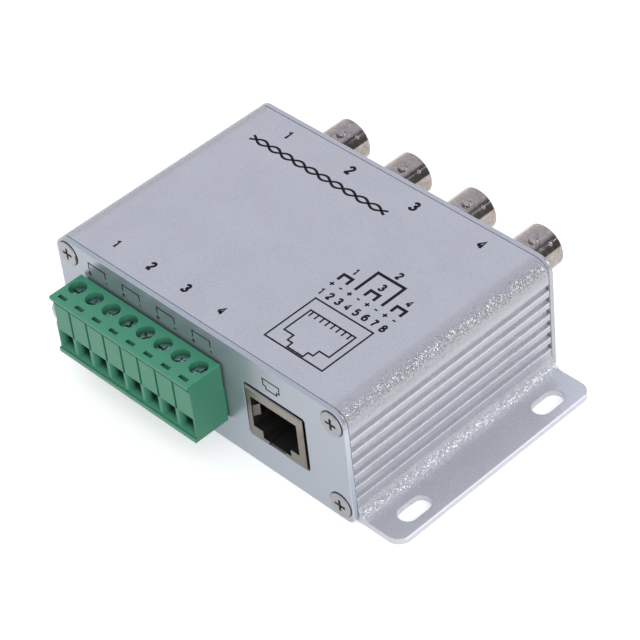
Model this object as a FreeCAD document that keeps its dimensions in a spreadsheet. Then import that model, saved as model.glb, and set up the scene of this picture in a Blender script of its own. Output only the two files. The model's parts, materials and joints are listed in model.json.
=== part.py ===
import FreeCAD, Part
import math
import os

import Sketcher

# Video balun box: a flanged aluminium extrusion closed by two end plates. The front
# plate holds a pull-off screw terminal and a network jack, the rear plate four bayonet
# sockets, and a circuit board inside carries them all.
# Frame: X to the right seen from the front, Y towards the rear, Z up.
# The origin is at the bottom centre of the whole part.

WAYS = 8
CHANNELS = 4
JACK_WAYS = 8
GROOVES = 6
LEADS_PER_SIDE = 3
CLAMP_TURN = 37

SIZES = {
    # Extruded case
    "case_width": 81.4,
    "case_height": 28.0,
    "case_length": 54.4,
    "side_wall": 2.2,
    "flat_wall": 1.6,
    "case_corner": 3.2,
    "hollow_corner": 0.8,
    "flange_reach": 10.7,
    "flange_thickness": 1.5,
    "flange_root": 2.8,
    "flange_corner": 3.0,
    "slot_width": 4.1,
    "slot_length": 7.5,
    "slot_side_gap": 6.35,
    "slot_spacing": 37.5,
    "groove_width": 1.4,
    "groove_depth": 0.8,
    "groove_spacing": 3.03,
    "groove_first": 6.8,
    "boss_radius": 2.25,
    "boss_bore": 1.25,
    "rail_reach": 2.0,
    "rail_thickness": 1.0,
    # End plates and their screws
    "plate_thickness": 1.2,
    "plate_foot_corner": 1.8,
    "screw_inset": 3.4,
    "screw_head_radius": 2.72,
    "screw_head_proud": 0.3,
    "screw_head_edge": 0.2,
    "screw_gap": 0.15,
    "screw_ring": 0.3,
    "screw_shank_gap": 0.05,
    "screw_length": 8.0,
    "cross_width": 0.6,
    "cross_span": 2.8,
    "cross_depth": 0.9,
    # Circuit board
    "board_height": 5.75,
    "board_thickness": 1.6,
    "board_side_gap": 0.3,
    "board_end_gap": 0.3,
    "board_rail_gap": 0.1,
    "hole_gap": 0.05,
    "tail_reach": 1.5,
    # Screw terminal plug
    "way_spacing": 5.08,
    "plug_inset": 7.39,
    "plug_reach": 9.0,
    "plug_height": 14.7,
    "plug_drop": 0.37,
    "plug_seam": 0.4,
    "lip_height": 0.85,
    "ledge_height": 1.1,
    "lip_step": 0.5,
    "divider_width": 0.55,
    "divider_depth": 0.6,
    "brow_height": 1.0,
    "brow_side": 0.55,
    "end_relief": 0.3,
    "relief_low": 7.2,
    "funnel_low": 1.1,
    "funnel_high": 5.5,
    "funnel_width": 4.2,
    "funnel_depth": 1.2,
    "throat_width": 3.0,
    "throat_height": 3.2,
    "clamp_setback": 3.6,
    "well_radius": 1.9,
    "well_depth": 2.95,
    "probe_length": 2.3,
    "probe_width": 0.85,
    "probe_setback": 7.5,
    "probe_depth": 4.0,
    # Rising cage clamps inside the plug
    "cage_width": 3.9,
    "cage_depth": 3.9,
    "cage_height": 6.55,
    "cage_floor": 0.85,
    "cage_roof": 1.5,
    "cage_side": 0.7,
    "cage_gap": 0.15,
    "cage_lift": 2.0,
    "clamp_shank_radius": 1.25,
    "clamp_thread_gap": 0.05,
    "clamp_head_gap": 0.15,
    "clamp_head_height": 1.5,
    "clamp_slot_width": 0.55,
    "clamp_slot_depth": 0.8,
    "clamp_cross_reach": 1.1,
    # Contacts of plug and header
    "pin_size": 1.0,
    "pin_height": 4.25,
    "pin_gap": 0.05,
    "leaf_thickness": 0.55,
    "leaf_spread": 0.15,
    "contact_width": 2.0,
    "contact_side": 0.45,
    "contact_back": 1.0,
    "cell_margin": 0.3,
    "nose_length": 9.5,
    "nose_low": 0.8,
    "nose_high": 7.8,
    "nose_side": 0.4,
    "nose_gap": 0.2,
    "header_depth": 12.0,
    "header_back": 2.4,
    "header_height": 8.5,
    "header_wall": 0.9,
    "header_gap": 0.1,
    "pin_setback": 2.5,
    "pin_bend": 1.5,
    # Network jack
    "jack_shift": 0.195,
    "jack_width": 15.5,
    "jack_height": 12.65,
    "jack_depth": 15.8,
    "jack_proud": 0.3,
    "jack_edge": 0.5,
    "jack_play_left": 0.35,
    "jack_play_right": 0.75,
    "jack_play_top": 0.6,
    "jack_play_bottom": 0.25,
    "jack_window_corner": 0.7,
    "shield_thickness": 0.3,
    "jack_open_width": 12.5,
    "jack_open_low": 2.8,
    "jack_open_high": 10.6,
    "jack_cavity_depth": 12.5,
    "key_width": 7.6,
    "key_low": 1.0,
    "latch_width": 4.6,
    "latch_floor": 0.6,
    "spring_length": 5.0,
    "spring_low": 5.1,
    "spring_high": 7.9,
    "spring_bow": 0.7,
    "spring_bow_place": 1.3,
    "housing_gap": 0.05,
    "wire_spacing": 1.02,
    "wire_size": 0.35,
    "wire_slot_gap": 0.12,
    "wire_rise": 0.8,
    "wire_front": 3.4,
    "wire_tip": 10.1,
    "wire_drop": 2.7,
    "wire_back_gap": 0.3,
    # Bayonet sockets
    "bnc_side_gap": 13.7,
    "bnc_height": 16.3,
    "bnc_radius": 4.8,
    "bnc_reach": 12.9,
    "bnc_bore": 4.05,
    "bnc_bore_depth": 9.5,
    "bnc_edge": 0.3,
    "bnc_hole_gap": 0.15,
    "lug_radius": 1.0,
    "lug_span": 11.0,
    "lug_setback": 5.0,
    "lug_tilt": 15.0,
    "block_width": 14.5,
    "block_depth": 9.0,
    "block_back": 4.0,
    "core_radius": 2.9,
    "sleeve_radius": 2.4,
    "sleeve_setback": 0.6,
    "sleeve_disc": 0.9,
    "sleeve_gap": 0.05,
    "centre_radius": 1.05,
    "centre_bore": 0.55,
    "centre_bore_depth": 5.0,
    "centre_setback": 1.0,
    "centre_back": 2.5,
    "centre_tail": 0.6,
    "washer_thickness": 0.5,
    "washer_radius": 6.3,
    "nut_thickness": 2.0,
    "nut_across": 12.7,
    "nut_gap": 0.05,
    # Board components
    "coil_width": 11.0,
    "coil_depth": 9.0,
    "coil_height": 6.5,
    "coil_lift": 0.3,
    "coil_corner": 0.6,
    "coil_place": 34.0,
    "lead_width": 0.8,
    "lead_thickness": 0.3,
    "lead_spacing": 3.4,
    "lead_foot": 1.4,
    "lead_rise": 2.4,
    "arrester_length": 4.4,
    "arrester_width": 3.4,
    "arrester_height": 2.3,
    "arrester_place": 20.0,
    "capacitor_length": 2.0,
    "capacitor_width": 1.25,
    "capacitor_height": 0.9,
    "capacitor_place": 25.0,
    "capacitor_spacing": 5.0,
}

doc = FreeCAD.newDocument("video_balun")
sheet = doc.addObject("Spreadsheet::Sheet", "Sizes")
for row, (word, number) in enumerate(SIZES.items(), start=1):
    sheet.set(f"A{row}", word)
    sheet.set(f"B{row}", str(number))
    sheet.setAlias(f"B{row}", word)
doc.recompute()


class Size:
    """A length with the sheet formula that drives it."""

    def __init__(self, value, formula):
        self.value = value
        self.formula = formula

    def combine(self, sign, other, value):
        return Size(value, f"({self.formula} {sign} {other.formula})")

    def __add__(self, other):
        other = as_size(other)
        return self.combine("+", other, self.value + other.value)

    def __radd__(self, other):
        return as_size(other) + self

    def __sub__(self, other):
        other = as_size(other)
        return self.combine("-", other, self.value - other.value)

    def __rsub__(self, other):
        return as_size(other) - self

    def __mul__(self, other):
        other = as_size(other)
        return self.combine("*", other, self.value * other.value)

    def __rmul__(self, other):
        return as_size(other) * self

    def __truediv__(self, other):
        other = as_size(other)
        return self.combine("/", other, self.value / other.value)

    def __neg__(self):
        return Size(-self.value, f"(0 - {self.formula})")


class Named:
    """Gives each size of the sheet by its name."""

    def __getattr__(self, word):
        return Size(SIZES[word], f"Sizes.{word}")


def as_size(length):
    """The same length as a Size, whether it was a bare number or not."""
    if isinstance(length, Size):
        return length
    return Size(float(length), f"{float(length)}")


s = Named()


# Outlines drawn in a sketch


def bind(sketch, kind, geometry, point, length):
    """Drives one coordinate or radius of a sketch from a size."""
    if kind == "Radius":
        constraint = Sketcher.Constraint(kind, geometry, length.value)
    else:
        constraint = Sketcher.Constraint(kind, -1, 1, geometry, point, length.value)
    constraint.Name = f"size{sketch.ConstraintCount}"
    sketch.addConstraint(constraint)
    sketch.setExpression(f"Constraints.{constraint.Name}", length.formula)


def bind_point(sketch, geometry, point, x, y):
    """Drives both coordinates of a point of a sketch."""
    bind(sketch, "DistanceX", geometry, point, x)
    bind(sketch, "DistanceY", geometry, point, y)


class Circle:
    """A full circle about a centre."""

    def __init__(self, x, y, radius):
        self.x = as_size(x)
        self.y = as_size(y)
        self.radius = radius

    def draw(self, sketch):
        centre = FreeCAD.Vector(self.x.value, self.y.value, 0)
        circle = Part.Circle(centre, FreeCAD.Vector(0, 0, 1), self.radius.value)
        number = sketch.addGeometry(circle, False)
        bind_point(sketch, number, 3, self.x, self.y)
        bind(sketch, "Radius", number, 0, self.radius)


class Outline:
    """A closed line through corners (x, y) or (x, y, radius), the last kind rounded.

    A rounded corner needs two sides that run along the sketch's axes.
    """

    def __init__(self, *corners):
        self.corners = [tuple(as_size(part) for part in corner) for corner in corners]

    def heading(self, start, end):
        """Unit step along the axes from one corner to the next."""
        step_x = self.corners[end][0].value - self.corners[start][0].value
        step_y = self.corners[end][1].value - self.corners[start][1].value
        length = math.hypot(step_x, step_y)
        return round(step_x / length), round(step_y / length)

    def draw(self, sketch):
        count = len(self.corners)
        arrivals = []
        departures = []
        for index, corner in enumerate(self.corners):
            x, y = corner[0], corner[1]
            if len(corner) == 3:
                radius = corner[2]
                came = self.heading(index - 1, index)
                goes = self.heading(index, (index + 1) % count)
                arrivals.append((x - radius * came[0], y - radius * came[1]))
                departures.append((x + radius * goes[0], y + radius * goes[1]))
            else:
                arrivals.append((x, y))
                departures.append((x, y))
        lines = []
        for index in range(count):
            start = departures[index]
            end = arrivals[(index + 1) % count]
            line = Part.LineSegment(
                FreeCAD.Vector(start[0].value, start[1].value, 0),
                FreeCAD.Vector(end[0].value, end[1].value, 0),
            )
            lines.append(sketch.addGeometry(line, False))
        for index, corner in enumerate(self.corners):
            before = lines[index - 1]
            after = lines[index]
            bind_point(sketch, after, 1, *departures[index])
            if len(corner) == 3:
                bind_point(sketch, before, 2, *arrivals[index])
                self.round_corner(sketch, index, before, after)
            else:
                sketch.addConstraint(Sketcher.Constraint("Coincident", before, 2, after, 1))

    def round_corner(self, sketch, index, before, after):
        """Joins two sides with an arc that is tangent to both."""
        x, y, radius = self.corners[index]
        came = self.heading(index - 1, index)
        goes = self.heading(index, (index + 1) % len(self.corners))
        centre = FreeCAD.Vector(
            x.value + radius.value * (goes[0] - came[0]),
            y.value + radius.value * (goes[1] - came[1]),
            0,
        )
        first = math.atan2(-goes[1], -goes[0])
        last = math.atan2(came[1], came[0])
        turns_left = came[0] * goes[1] - came[1] * goes[0] > 0
        circle = Part.Circle(centre, FreeCAD.Vector(0, 0, 1), radius.value)
        if turns_left:
            arc = Part.ArcOfCircle(circle, first, last)
        else:
            arc = Part.ArcOfCircle(circle, last, first)
        number = sketch.addGeometry(arc, False)
        start_point, end_point = (1, 2) if turns_left else (2, 1)
        sketch.addConstraint(Sketcher.Constraint("Coincident", before, 2, number, start_point))
        sketch.addConstraint(Sketcher.Constraint("Coincident", after, 1, number, end_point))
        bind(sketch, "Radius", number, 0, radius)


def rectangle(left, right, low, high):
    """Outline of a box with sharp corners."""
    return Outline((left, low), (right, low), (right, high), (left, high))


class Slot:
    """An obround that runs along the sketch's vertical axis."""

    def __init__(self, x, y, width, length):
        self.x = x
        self.y = y
        self.radius = width / 2
        self.reach = (length - width) / 2

    def draw(self, sketch):
        left = self.x - self.radius
        right = self.x + self.radius
        low = self.y - self.reach
        high = self.y + self.reach
        up = FreeCAD.Vector(0, 0, 1)
        numbers = []
        for side, start, end in ((right, low, high), (left, high, low)):
            line = Part.LineSegment(
                FreeCAD.Vector(side.value, start.value, 0),
                FreeCAD.Vector(side.value, end.value, 0),
            )
            number = sketch.addGeometry(line, False)
            bind_point(sketch, number, 1, side, start)
            bind_point(sketch, number, 2, side, end)
            numbers.append(number)
        for height, turn in ((high, 0), (low, math.pi)):
            centre = FreeCAD.Vector(self.x.value, height.value, 0)
            circle = Part.Circle(centre, up, self.radius.value)
            arc = Part.ArcOfCircle(circle, turn, turn + math.pi)
            number = sketch.addGeometry(arc, False)
            before, after = numbers[:2] if turn == 0 else (numbers[1], numbers[0])
            sketch.addConstraint(Sketcher.Constraint("Coincident", before, 2, number, 1))
            sketch.addConstraint(Sketcher.Constraint("Coincident", number, 2, after, 1))
            bind(sketch, "DistanceY", number, 3, height)


class Piece:
    """One sub-part: a body in its own frame, with a place in the whole."""

    def __init__(self, label, x=0, y=0, z=0, turn=0):
        self.label = label
        self.body = doc.addObject("PartDesign::Body", label)
        self.body.Label = label
        self.body.Placement.Rotation = FreeCAD.Rotation(FreeCAD.Vector(0, 0, 1), turn)
        for axis, place in zip("xyz", (x, y, z)):
            self.body.setExpression(f".Placement.Base.{axis}", as_size(place).formula)
        pieces.append(self)

    def origin(self, role):
        """The body's own origin plane or axis with this role."""
        for feature in self.body.Origin.OriginFeatures:
            if feature.Role == role:
                return feature
        raise ValueError(role)

    def feature(self, kind, what):
        return self.body.newObject(kind, f"{self.label}_{what}")

    def sketch(self, what, plane, place, *outlines):
        """A sketch on a plane that stands at a place along that plane's axis."""
        sketch = self.feature("Sketcher::SketchObject", f"{what}_sketch")
        sketch.AttachmentSupport = [(self.origin(plane), "")]
        sketch.MapMode = "FlatFace"
        offset = -as_size(place) if plane == "XZ_Plane" else as_size(place)
        sketch.setExpression(".AttachmentOffset.Base.z", offset.formula)
        for outline in outlines:
            outline.draw(sketch)
        return sketch

    def extrude(self, kind, what, plane, low, high, outlines):
        low = as_size(low)
        high = as_size(high)
        sketch = self.sketch(what, plane, low, *outlines)
        feature = self.feature(kind, what)
        feature.Profile = sketch
        feature.setExpression("Length", (high - low).formula)
        along_normal = plane != "XZ_Plane"
        feature.Reversed = along_normal == (kind == "PartDesign::Pocket")
        return feature

    def add(self, what, plane, low, high, *outlines):
        """A pad of the outlines, from low to high along the plane's axis."""
        return self.extrude("PartDesign::Pad", what, plane, low, high, outlines)

    def cut(self, what, plane, low, high, *outlines):
        """A pocket of the outlines, from low to high along the plane's axis."""
        feature = self.extrude("PartDesign::Pocket", what, plane, low, high, outlines)
        cuts.append(feature)
        return feature

    def turn(self, what, plane, axis, outline):
        """A solid of revolution about one of the body's axes."""
        sketch = self.sketch(what, plane, 0, outline)
        feature = self.feature("PartDesign::Revolution", what)
        feature.Profile = sketch
        feature.ReferenceAxis = (self.origin(axis), [""])
        feature.Angle = 360
        return feature

    def bore(self, what, plane, axis, outline):
        """A groove turned about one of the body's axes."""
        sketch = self.sketch(what, plane, 0, outline)
        feature = self.feature("PartDesign::Groove", what)
        feature.Profile = sketch
        feature.ReferenceAxis = (self.origin(axis), [""])
        feature.Angle = 360
        cuts.append(feature)
        return feature

    def repeat(self, what, features, axis, spacing, count):
        """Copies features in a row along an axis."""
        pattern = self.feature("PartDesign::LinearPattern", what)
        pattern.Originals = features
        pattern.Direction = (self.origin(axis), [""])
        pattern.setExpression("Length", (spacing * (count - 1)).formula)
        pattern.Occurrences = count
        self.body.Tip = pattern
        return pattern

    def fillet(self, what, radius, wanted):
        """Rounds each edge that the test wanted accepts."""
        self.body.recompute(True)
        base = self.body.Tip
        names = []
        for number, edge in enumerate(base.Shape.Edges, start=1):
            if wanted(edge, edge.CenterOfMass):
                names.append(f"Edge{number}")
        feature = self.feature("PartDesign::Fillet", what)
        feature.Base = (base, names)
        feature.setExpression("Radius", radius.formula)
        return feature


pieces = []
cuts = []

# Places shared by several pieces

case_half = s.case_width / 2
case_depth = s.case_length + s.plate_thickness * 2
front_face = s.plug_reach - (s.plug_reach + case_depth + s.bnc_reach) / 2
rear_face = front_face + case_depth
screw_x = case_half - s.screw_inset
screw_high = s.case_height - s.screw_inset
board_top = s.board_height + s.board_thickness
plug_half = s.way_spacing * WAYS / 2
plug_x = s.plug_inset + plug_half - case_half
first_way = s.way_spacing / 2 - plug_half
plug_end = plug_x + plug_half
screw_start = screw_x - s.screw_head_radius
jack_x = (plug_end + screw_start) / 2 + s.jack_shift
bnc_spacing = (s.case_width - s.bnc_side_gap * 2) / (CHANNELS - 1)
first_bnc = s.bnc_side_gap - case_half
bnc_axis = s.bnc_height - board_top

# Levels inside the terminal, above the board

plug_low = -s.plug_drop
plug_top = s.plug_height - s.plug_drop
head_seat = plug_top - s.well_depth
pin_top = s.pin_height + s.pin_size / 2
pin_low = s.pin_height - s.pin_size / 2
tongue_low = pin_top + s.pin_gap
tongue_top = tongue_low + s.leaf_thickness
leaf_top = pin_low - s.leaf_spread
leaf_low = leaf_top - s.leaf_thickness
cage_low = tongue_low - s.throat_height - s.cage_floor
chamber_low = cage_low - s.cage_gap
chamber_high = cage_low + s.cage_height + s.cage_lift + s.cage_gap
chamber_front = s.clamp_setback + s.cage_depth / 2 + s.cage_gap
chamber_back = s.clamp_setback - s.cage_depth / 2 - s.cage_gap
cell_half = s.cage_width / 2 + s.cage_gap
cell_low = leaf_low - s.cell_margin
cell_high = tongue_top + s.cell_margin
nose_half = plug_half - s.nose_side
header_front = s.plate_thickness + s.header_gap
header_rear = header_front + s.header_depth
pin_rear = header_rear + s.pin_bend


def build_enclosure():
    """Extruded case with bored screw channels, board rails and two slotted flanges."""
    case = Piece("enclosure", y=front_face + s.plate_thickness)
    flange_half = case_half + s.flange_reach
    case.add(
        "section",
        "XZ_Plane",
        0,
        s.case_length,
        Outline(
            (-flange_half, 0),
            (flange_half, 0),
            (flange_half, s.flange_thickness),
            (case_half, s.flange_thickness, s.flange_root),
            (case_half, s.case_height, s.case_corner),
            (-case_half, s.case_height, s.case_corner),
            (-case_half, s.flange_thickness, s.flange_root),
            (-flange_half, s.flange_thickness),
        ),
    )
    hollow_half = case_half - s.side_wall
    ceiling = s.case_height - s.flat_wall
    case.cut(
        "hollow",
        "XZ_Plane",
        0,
        s.case_length,
        Outline(
            (-hollow_half, s.flat_wall, s.hollow_corner),
            (hollow_half, s.flat_wall, s.hollow_corner),
            (hollow_half, ceiling, s.hollow_corner),
            (-hollow_half, ceiling, s.hollow_corner),
        ),
    )
    channels = [(x, z) for x in (-screw_x, screw_x) for z in (s.screw_inset, screw_high)]
    bosses = [Circle(x, z, s.boss_radius) for x, z in channels]
    case.add("bosses", "XZ_Plane", 0, s.case_length, *bosses)
    bores = [Circle(x, z, s.boss_bore) for x, z in channels]
    case.cut("channels", "XZ_Plane", 0, s.case_length, *bores)
    rail_low = board_top + s.board_rail_gap
    rail_high = rail_low + s.rail_thickness
    rail_edge = hollow_half - s.rail_reach
    overlap = s.side_wall / 2
    case.add(
        "rails",
        "XZ_Plane",
        0,
        s.case_length,
        rectangle(rail_edge, hollow_half + overlap, rail_low, rail_high),
        rectangle(-hollow_half - overlap, -rail_edge, rail_low, rail_high),
    )
    groove_low = s.groove_first - s.groove_width / 2
    groove_high = s.groove_first + s.groove_width / 2
    groove = case.cut(
        "groove",
        "XZ_Plane",
        0,
        s.case_length,
        rectangle(case_half - s.groove_depth, case_half + s.groove_depth, groove_low, groove_high),
        rectangle(-case_half - s.groove_depth, -case_half + s.groove_depth, groove_low, groove_high),
    )
    case.repeat("grooves", [groove], "Z_Axis", s.groove_spacing, GROOVES)
    slot_x = case_half + s.slot_side_gap
    slots = []
    for x in (-slot_x, slot_x):
        for side in (-1, 1):
            y = s.case_length / 2 + s.slot_spacing * side / 2
            slots.append(Slot(x, y, s.slot_width, s.slot_length))
    case.cut("slots", "XY_Plane", 0, s.flange_thickness, *slots)

    def flange_end(edge, middle):
        upright = abs(edge.tangentAt(edge.FirstParameter).z) > 0.99
        outer = abs(abs(middle.x) - flange_half.value) < 1e-3
        return upright and outer

    case.fillet("flange_ends", s.flange_corner, flange_end)


def build_end_plate(label, y, turn, windows):
    """Flat plate over one end of the case, countersunk in its four corners."""
    plate = Piece(label, y=y, turn=turn)
    plate.add(
        "blank",
        "XZ_Plane",
        0,
        s.plate_thickness,
        Outline(
            (-case_half, 0, s.plate_foot_corner),
            (case_half, 0, s.plate_foot_corner),
            (case_half, s.case_height, s.case_corner),
            (-case_half, s.case_height, s.case_corner),
        ),
    )
    plate.cut("windows", "XZ_Plane", 0, s.plate_thickness, *windows)
    for x in (-screw_x, screw_x):
        for z in (s.screw_inset, screw_high):
            sink = plate.feature("PartDesign::SubtractiveCone", "sink")
            sink.AttachmentSupport = [(plate.origin("XZ_Plane"), "")]
            sink.MapMode = "FlatFace"
            sink.setExpression(".AttachmentOffset.Base.x", x.formula)
            sink.setExpression(".AttachmentOffset.Base.y", z.formula)
            sink.setExpression(".AttachmentOffset.Base.z", (-s.plate_thickness).formula)
            sink.setExpression("Radius1", (s.boss_bore + s.screw_gap).formula)
            sink.setExpression("Radius2", (s.screw_head_radius + s.screw_ring).formula)
            sink.setExpression("Height", s.plate_thickness.formula)


def build_plate_screws(label, y, turn):
    """Four countersunk cross-head screws, in the frame of their end plate."""
    facing = 1 if turn == 0 else -1
    screws = Piece(label, x=-screw_x * facing, y=y, z=s.screw_inset, turn=turn)
    shank = s.boss_bore - s.screw_shank_gap
    rim = s.screw_head_radius
    screw = screws.turn(
        "screw",
        "XY_Plane",
        "Y_Axis",
        Outline(
            (0, -s.screw_head_proud),
            (rim - s.screw_head_edge, -s.screw_head_proud),
            (rim, s.screw_head_edge - s.screw_head_proud),
            (rim, 0),
            (shank, s.plate_thickness),
            (shank, s.screw_length),
            (0, s.screw_length),
        ),
    )
    arm = s.cross_width / 2
    span = s.cross_span / 2
    cross = screws.cut(
        "cross",
        "XZ_Plane",
        -s.screw_head_proud,
        s.cross_depth - s.screw_head_proud,
        Outline(
            (-span, -arm),
            (-arm, -arm),
            (-arm, -span),
            (arm, -span),
            (arm, -arm),
            (span, -arm),
            (span, arm),
            (arm, arm),
            (arm, span),
            (-arm, span),
            (-arm, arm),
            (-span, arm),
        ),
    )
    pattern = screws.repeat("set", [screw, cross], "X_Axis", screw_x * 2, 2)
    pattern.Direction2 = (screws.origin("Z_Axis"), [""])
    pattern.setExpression("Length2", (screw_high - s.screw_inset).formula)
    pattern.Occurrences2 = 2


def build_board():
    """Circuit board held by the case's screw channels and rails."""
    board = Piece("circuit_board", y=front_face, z=s.board_height)
    board_half = case_half - s.side_wall - s.board_side_gap
    board.add(
        "panel",
        "XY_Plane",
        0,
        s.board_thickness,
        rectangle(
            -board_half,
            board_half,
            s.plate_thickness + s.board_end_gap,
            s.plate_thickness + s.case_length - s.board_end_gap,
        ),
    )
    pin_hole = s.pin_size * math.sqrt(0.5) + s.hole_gap
    header_hole = board.cut(
        "header_hole",
        "XY_Plane",
        0,
        s.board_thickness,
        Circle(plug_x + first_way, pin_rear - s.pin_size / 2, pin_hole),
    )
    board.repeat("header_holes", [header_hole], "X_Axis", s.way_spacing, WAYS)
    wire_hole = s.wire_size * math.sqrt(0.5) + s.hole_gap
    jack_hole = board.cut(
        "jack_hole",
        "XY_Plane",
        0,
        s.board_thickness,
        Circle(jack_x - s.wire_spacing * (JACK_WAYS - 1) / 2, wire_rear - s.wire_size / 2, wire_hole),
    )
    board.repeat("jack_holes", [jack_hole], "X_Axis", s.wire_spacing, JACK_WAYS)
    bnc_hole = board.cut(
        "socket_hole",
        "XY_Plane",
        0,
        s.board_thickness,
        Circle(first_bnc, case_depth + tail_place, s.centre_tail + s.hole_gap),
    )
    board.repeat("socket_holes", [bnc_hole], "X_Axis", bnc_spacing, CHANNELS)


def build_header():
    """Board header that receives the plug: an open box and eight bent pins."""
    header = Piece("header_housing", x=plug_x, y=front_face, z=board_top)
    header_half = nose_half + s.nose_gap + s.header_wall
    header.add(
        "box",
        "XZ_Plane",
        header_front,
        header_rear,
        rectangle(-header_half, header_half, 0, s.header_height),
    )
    header.cut(
        "cavity",
        "XZ_Plane",
        header_front,
        header_rear - s.header_back,
        rectangle(
            -nose_half - s.nose_gap,
            nose_half + s.nose_gap,
            s.nose_low - s.nose_gap,
            s.nose_high + s.nose_gap,
        ),
    )
    hole_half = s.pin_size / 2 + s.hole_gap
    hole = header.cut(
        "pin_hole",
        "XZ_Plane",
        header_rear - s.header_back,
        header_rear,
        rectangle(
            first_way - hole_half,
            first_way + hole_half,
            s.pin_height - hole_half,
            s.pin_height + hole_half,
        ),
    )
    header.repeat("pin_holes", [hole], "X_Axis", s.way_spacing, WAYS)

    pins = Piece("header_pins", x=plug_x + first_way, y=front_face, z=board_top)
    tail_low = -s.board_thickness - s.tail_reach
    pin = pins.add(
        "pin",
        "YZ_Plane",
        -s.pin_size / 2,
        s.pin_size / 2,
        Outline(
            (s.pin_setback, pin_low),
            (pin_rear - s.pin_size, pin_low),
            (pin_rear - s.pin_size, tail_low),
            (pin_rear, tail_low),
            (pin_rear, pin_top),
            (s.pin_setback, pin_top),
        ),
    )
    pins.repeat("row", [pin], "X_Axis", s.way_spacing, WAYS)


def build_plug():
    """Moulded body of the pull-off terminal, with a clamp cell for each wire."""
    plug = Piece("plug_housing", x=plug_x, y=front_face, z=board_top)
    face = -s.plug_reach
    front = s.lip_step - s.plug_reach
    plug.add(
        "body",
        "YZ_Plane",
        -plug_half,
        plug_half,
        Outline(
            (face, plug_low),
            (-s.plug_seam, plug_low),
            (-s.plug_seam, plug_top),
            (face, plug_top),
            (face, plug_top - s.lip_height),
            (front, plug_top - s.lip_height),
            (front, plug_low + s.ledge_height),
            (face, plug_low + s.ledge_height),
        ),
    )
    plug.add(
        "nose",
        "XZ_Plane",
        -s.plug_seam,
        s.nose_length,
        rectangle(-nose_half, nose_half, s.nose_low, s.nose_high),
    )
    cell = plug.cut(
        "cell",
        "YZ_Plane",
        first_way - cell_half,
        first_way + cell_half,
        Outline(
            (-chamber_front, chamber_low),
            (-chamber_back, chamber_low),
            (-chamber_back, cell_low),
            (s.nose_length, cell_low),
            (s.nose_length, cell_high),
            (-chamber_back, cell_high),
            (-chamber_back, chamber_high),
            (-chamber_front, chamber_high),
        ),
    )
    plug.repeat("cells", [cell], "X_Axis", s.way_spacing, WAYS)
    well = plug.cut(
        "well",
        "XY_Plane",
        head_seat,
        plug_top,
        Circle(first_way, -s.clamp_setback, s.well_radius),
    )
    shaft = plug.cut(
        "shaft",
        "XY_Plane",
        chamber_high,
        head_seat,
        Circle(first_way, -s.clamp_setback, s.clamp_shank_radius + s.cage_gap),
    )
    probe = plug.cut(
        "probe",
        "XY_Plane",
        plug_top - s.probe_depth,
        plug_top,
        rectangle(
            first_way - s.probe_length / 2,
            first_way + s.probe_length / 2,
            -s.probe_setback - s.probe_width / 2,
            -s.probe_setback + s.probe_width / 2,
        ),
    )
    plug.repeat("top_holes", [well, shaft, probe], "X_Axis", s.way_spacing, WAYS)
    divider_middle = first_way + s.way_spacing / 2
    divider = plug.cut(
        "divider",
        "XZ_Plane",
        front,
        front + s.divider_depth,
        rectangle(
            divider_middle - s.divider_width / 2,
            divider_middle + s.divider_width / 2,
            s.funnel_high,
            plug_top - s.lip_height,
        ),
    )
    plug.repeat("dividers", [divider], "X_Axis", s.way_spacing, WAYS - 1)
    brow = plug.cut(
        "brow",
        "XZ_Plane",
        front,
        front + s.divider_depth,
        rectangle(
            s.brow_side - plug_half,
            divider_middle - s.divider_width / 2,
            plug_top - s.lip_height - s.brow_height,
            plug_top - s.lip_height,
        ),
    )
    plug.repeat("brows", [brow], "X_Axis", s.way_spacing, WAYS)
    plug.cut(
        "end_relief",
        "XZ_Plane",
        front,
        -s.plug_seam,
        rectangle(-plug_half, s.end_relief - plug_half, s.relief_low, plug_top - s.lip_height),
    )
    mouth = plug.sketch(
        "mouth",
        "XZ_Plane",
        front,
        rectangle(
            first_way - s.funnel_width / 2,
            first_way + s.funnel_width / 2,
            s.funnel_low,
            s.funnel_high,
        ),
    )
    throat_outline = rectangle(
        first_way - s.throat_width / 2,
        first_way + s.throat_width / 2,
        tongue_low - s.throat_height,
        tongue_low,
    )
    throat_front = front + s.funnel_depth
    funnel = plug.feature("PartDesign::SubtractiveLoft", "funnel")
    funnel.Profile = mouth
    funnel.Sections = [plug.sketch("funnel_end", "XZ_Plane", throat_front, throat_outline)]
    cuts.append(funnel)
    throat = plug.cut("throat", "XZ_Plane", throat_front, -chamber_front, throat_outline)
    plug.repeat("funnels", [funnel, throat], "X_Axis", s.way_spacing, WAYS)

    contacts = Piece("plug_contacts", x=plug_x + first_way, y=front_face, z=board_top)
    half = s.contact_width / 2
    side = s.pin_size / 2 + s.pin_gap
    spring = contacts.add(
        "spring",
        "XZ_Plane",
        -s.contact_back,
        s.nose_length - s.contact_back,
        Outline(
            (-side - s.contact_side, leaf_low),
            (half, leaf_low),
            (half, leaf_top),
            (-side, leaf_top),
            (-side, tongue_low),
            (half, tongue_low),
            (half, tongue_top),
            (-side - s.contact_side, tongue_top),
        ),
    )
    tongue = contacts.add(
        "tongue",
        "XZ_Plane",
        s.cage_gap - chamber_front,
        -s.contact_back,
        rectangle(-half, half, tongue_low, tongue_top),
    )
    contacts.repeat("row", [spring, tongue], "X_Axis", s.way_spacing, WAYS)


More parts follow.
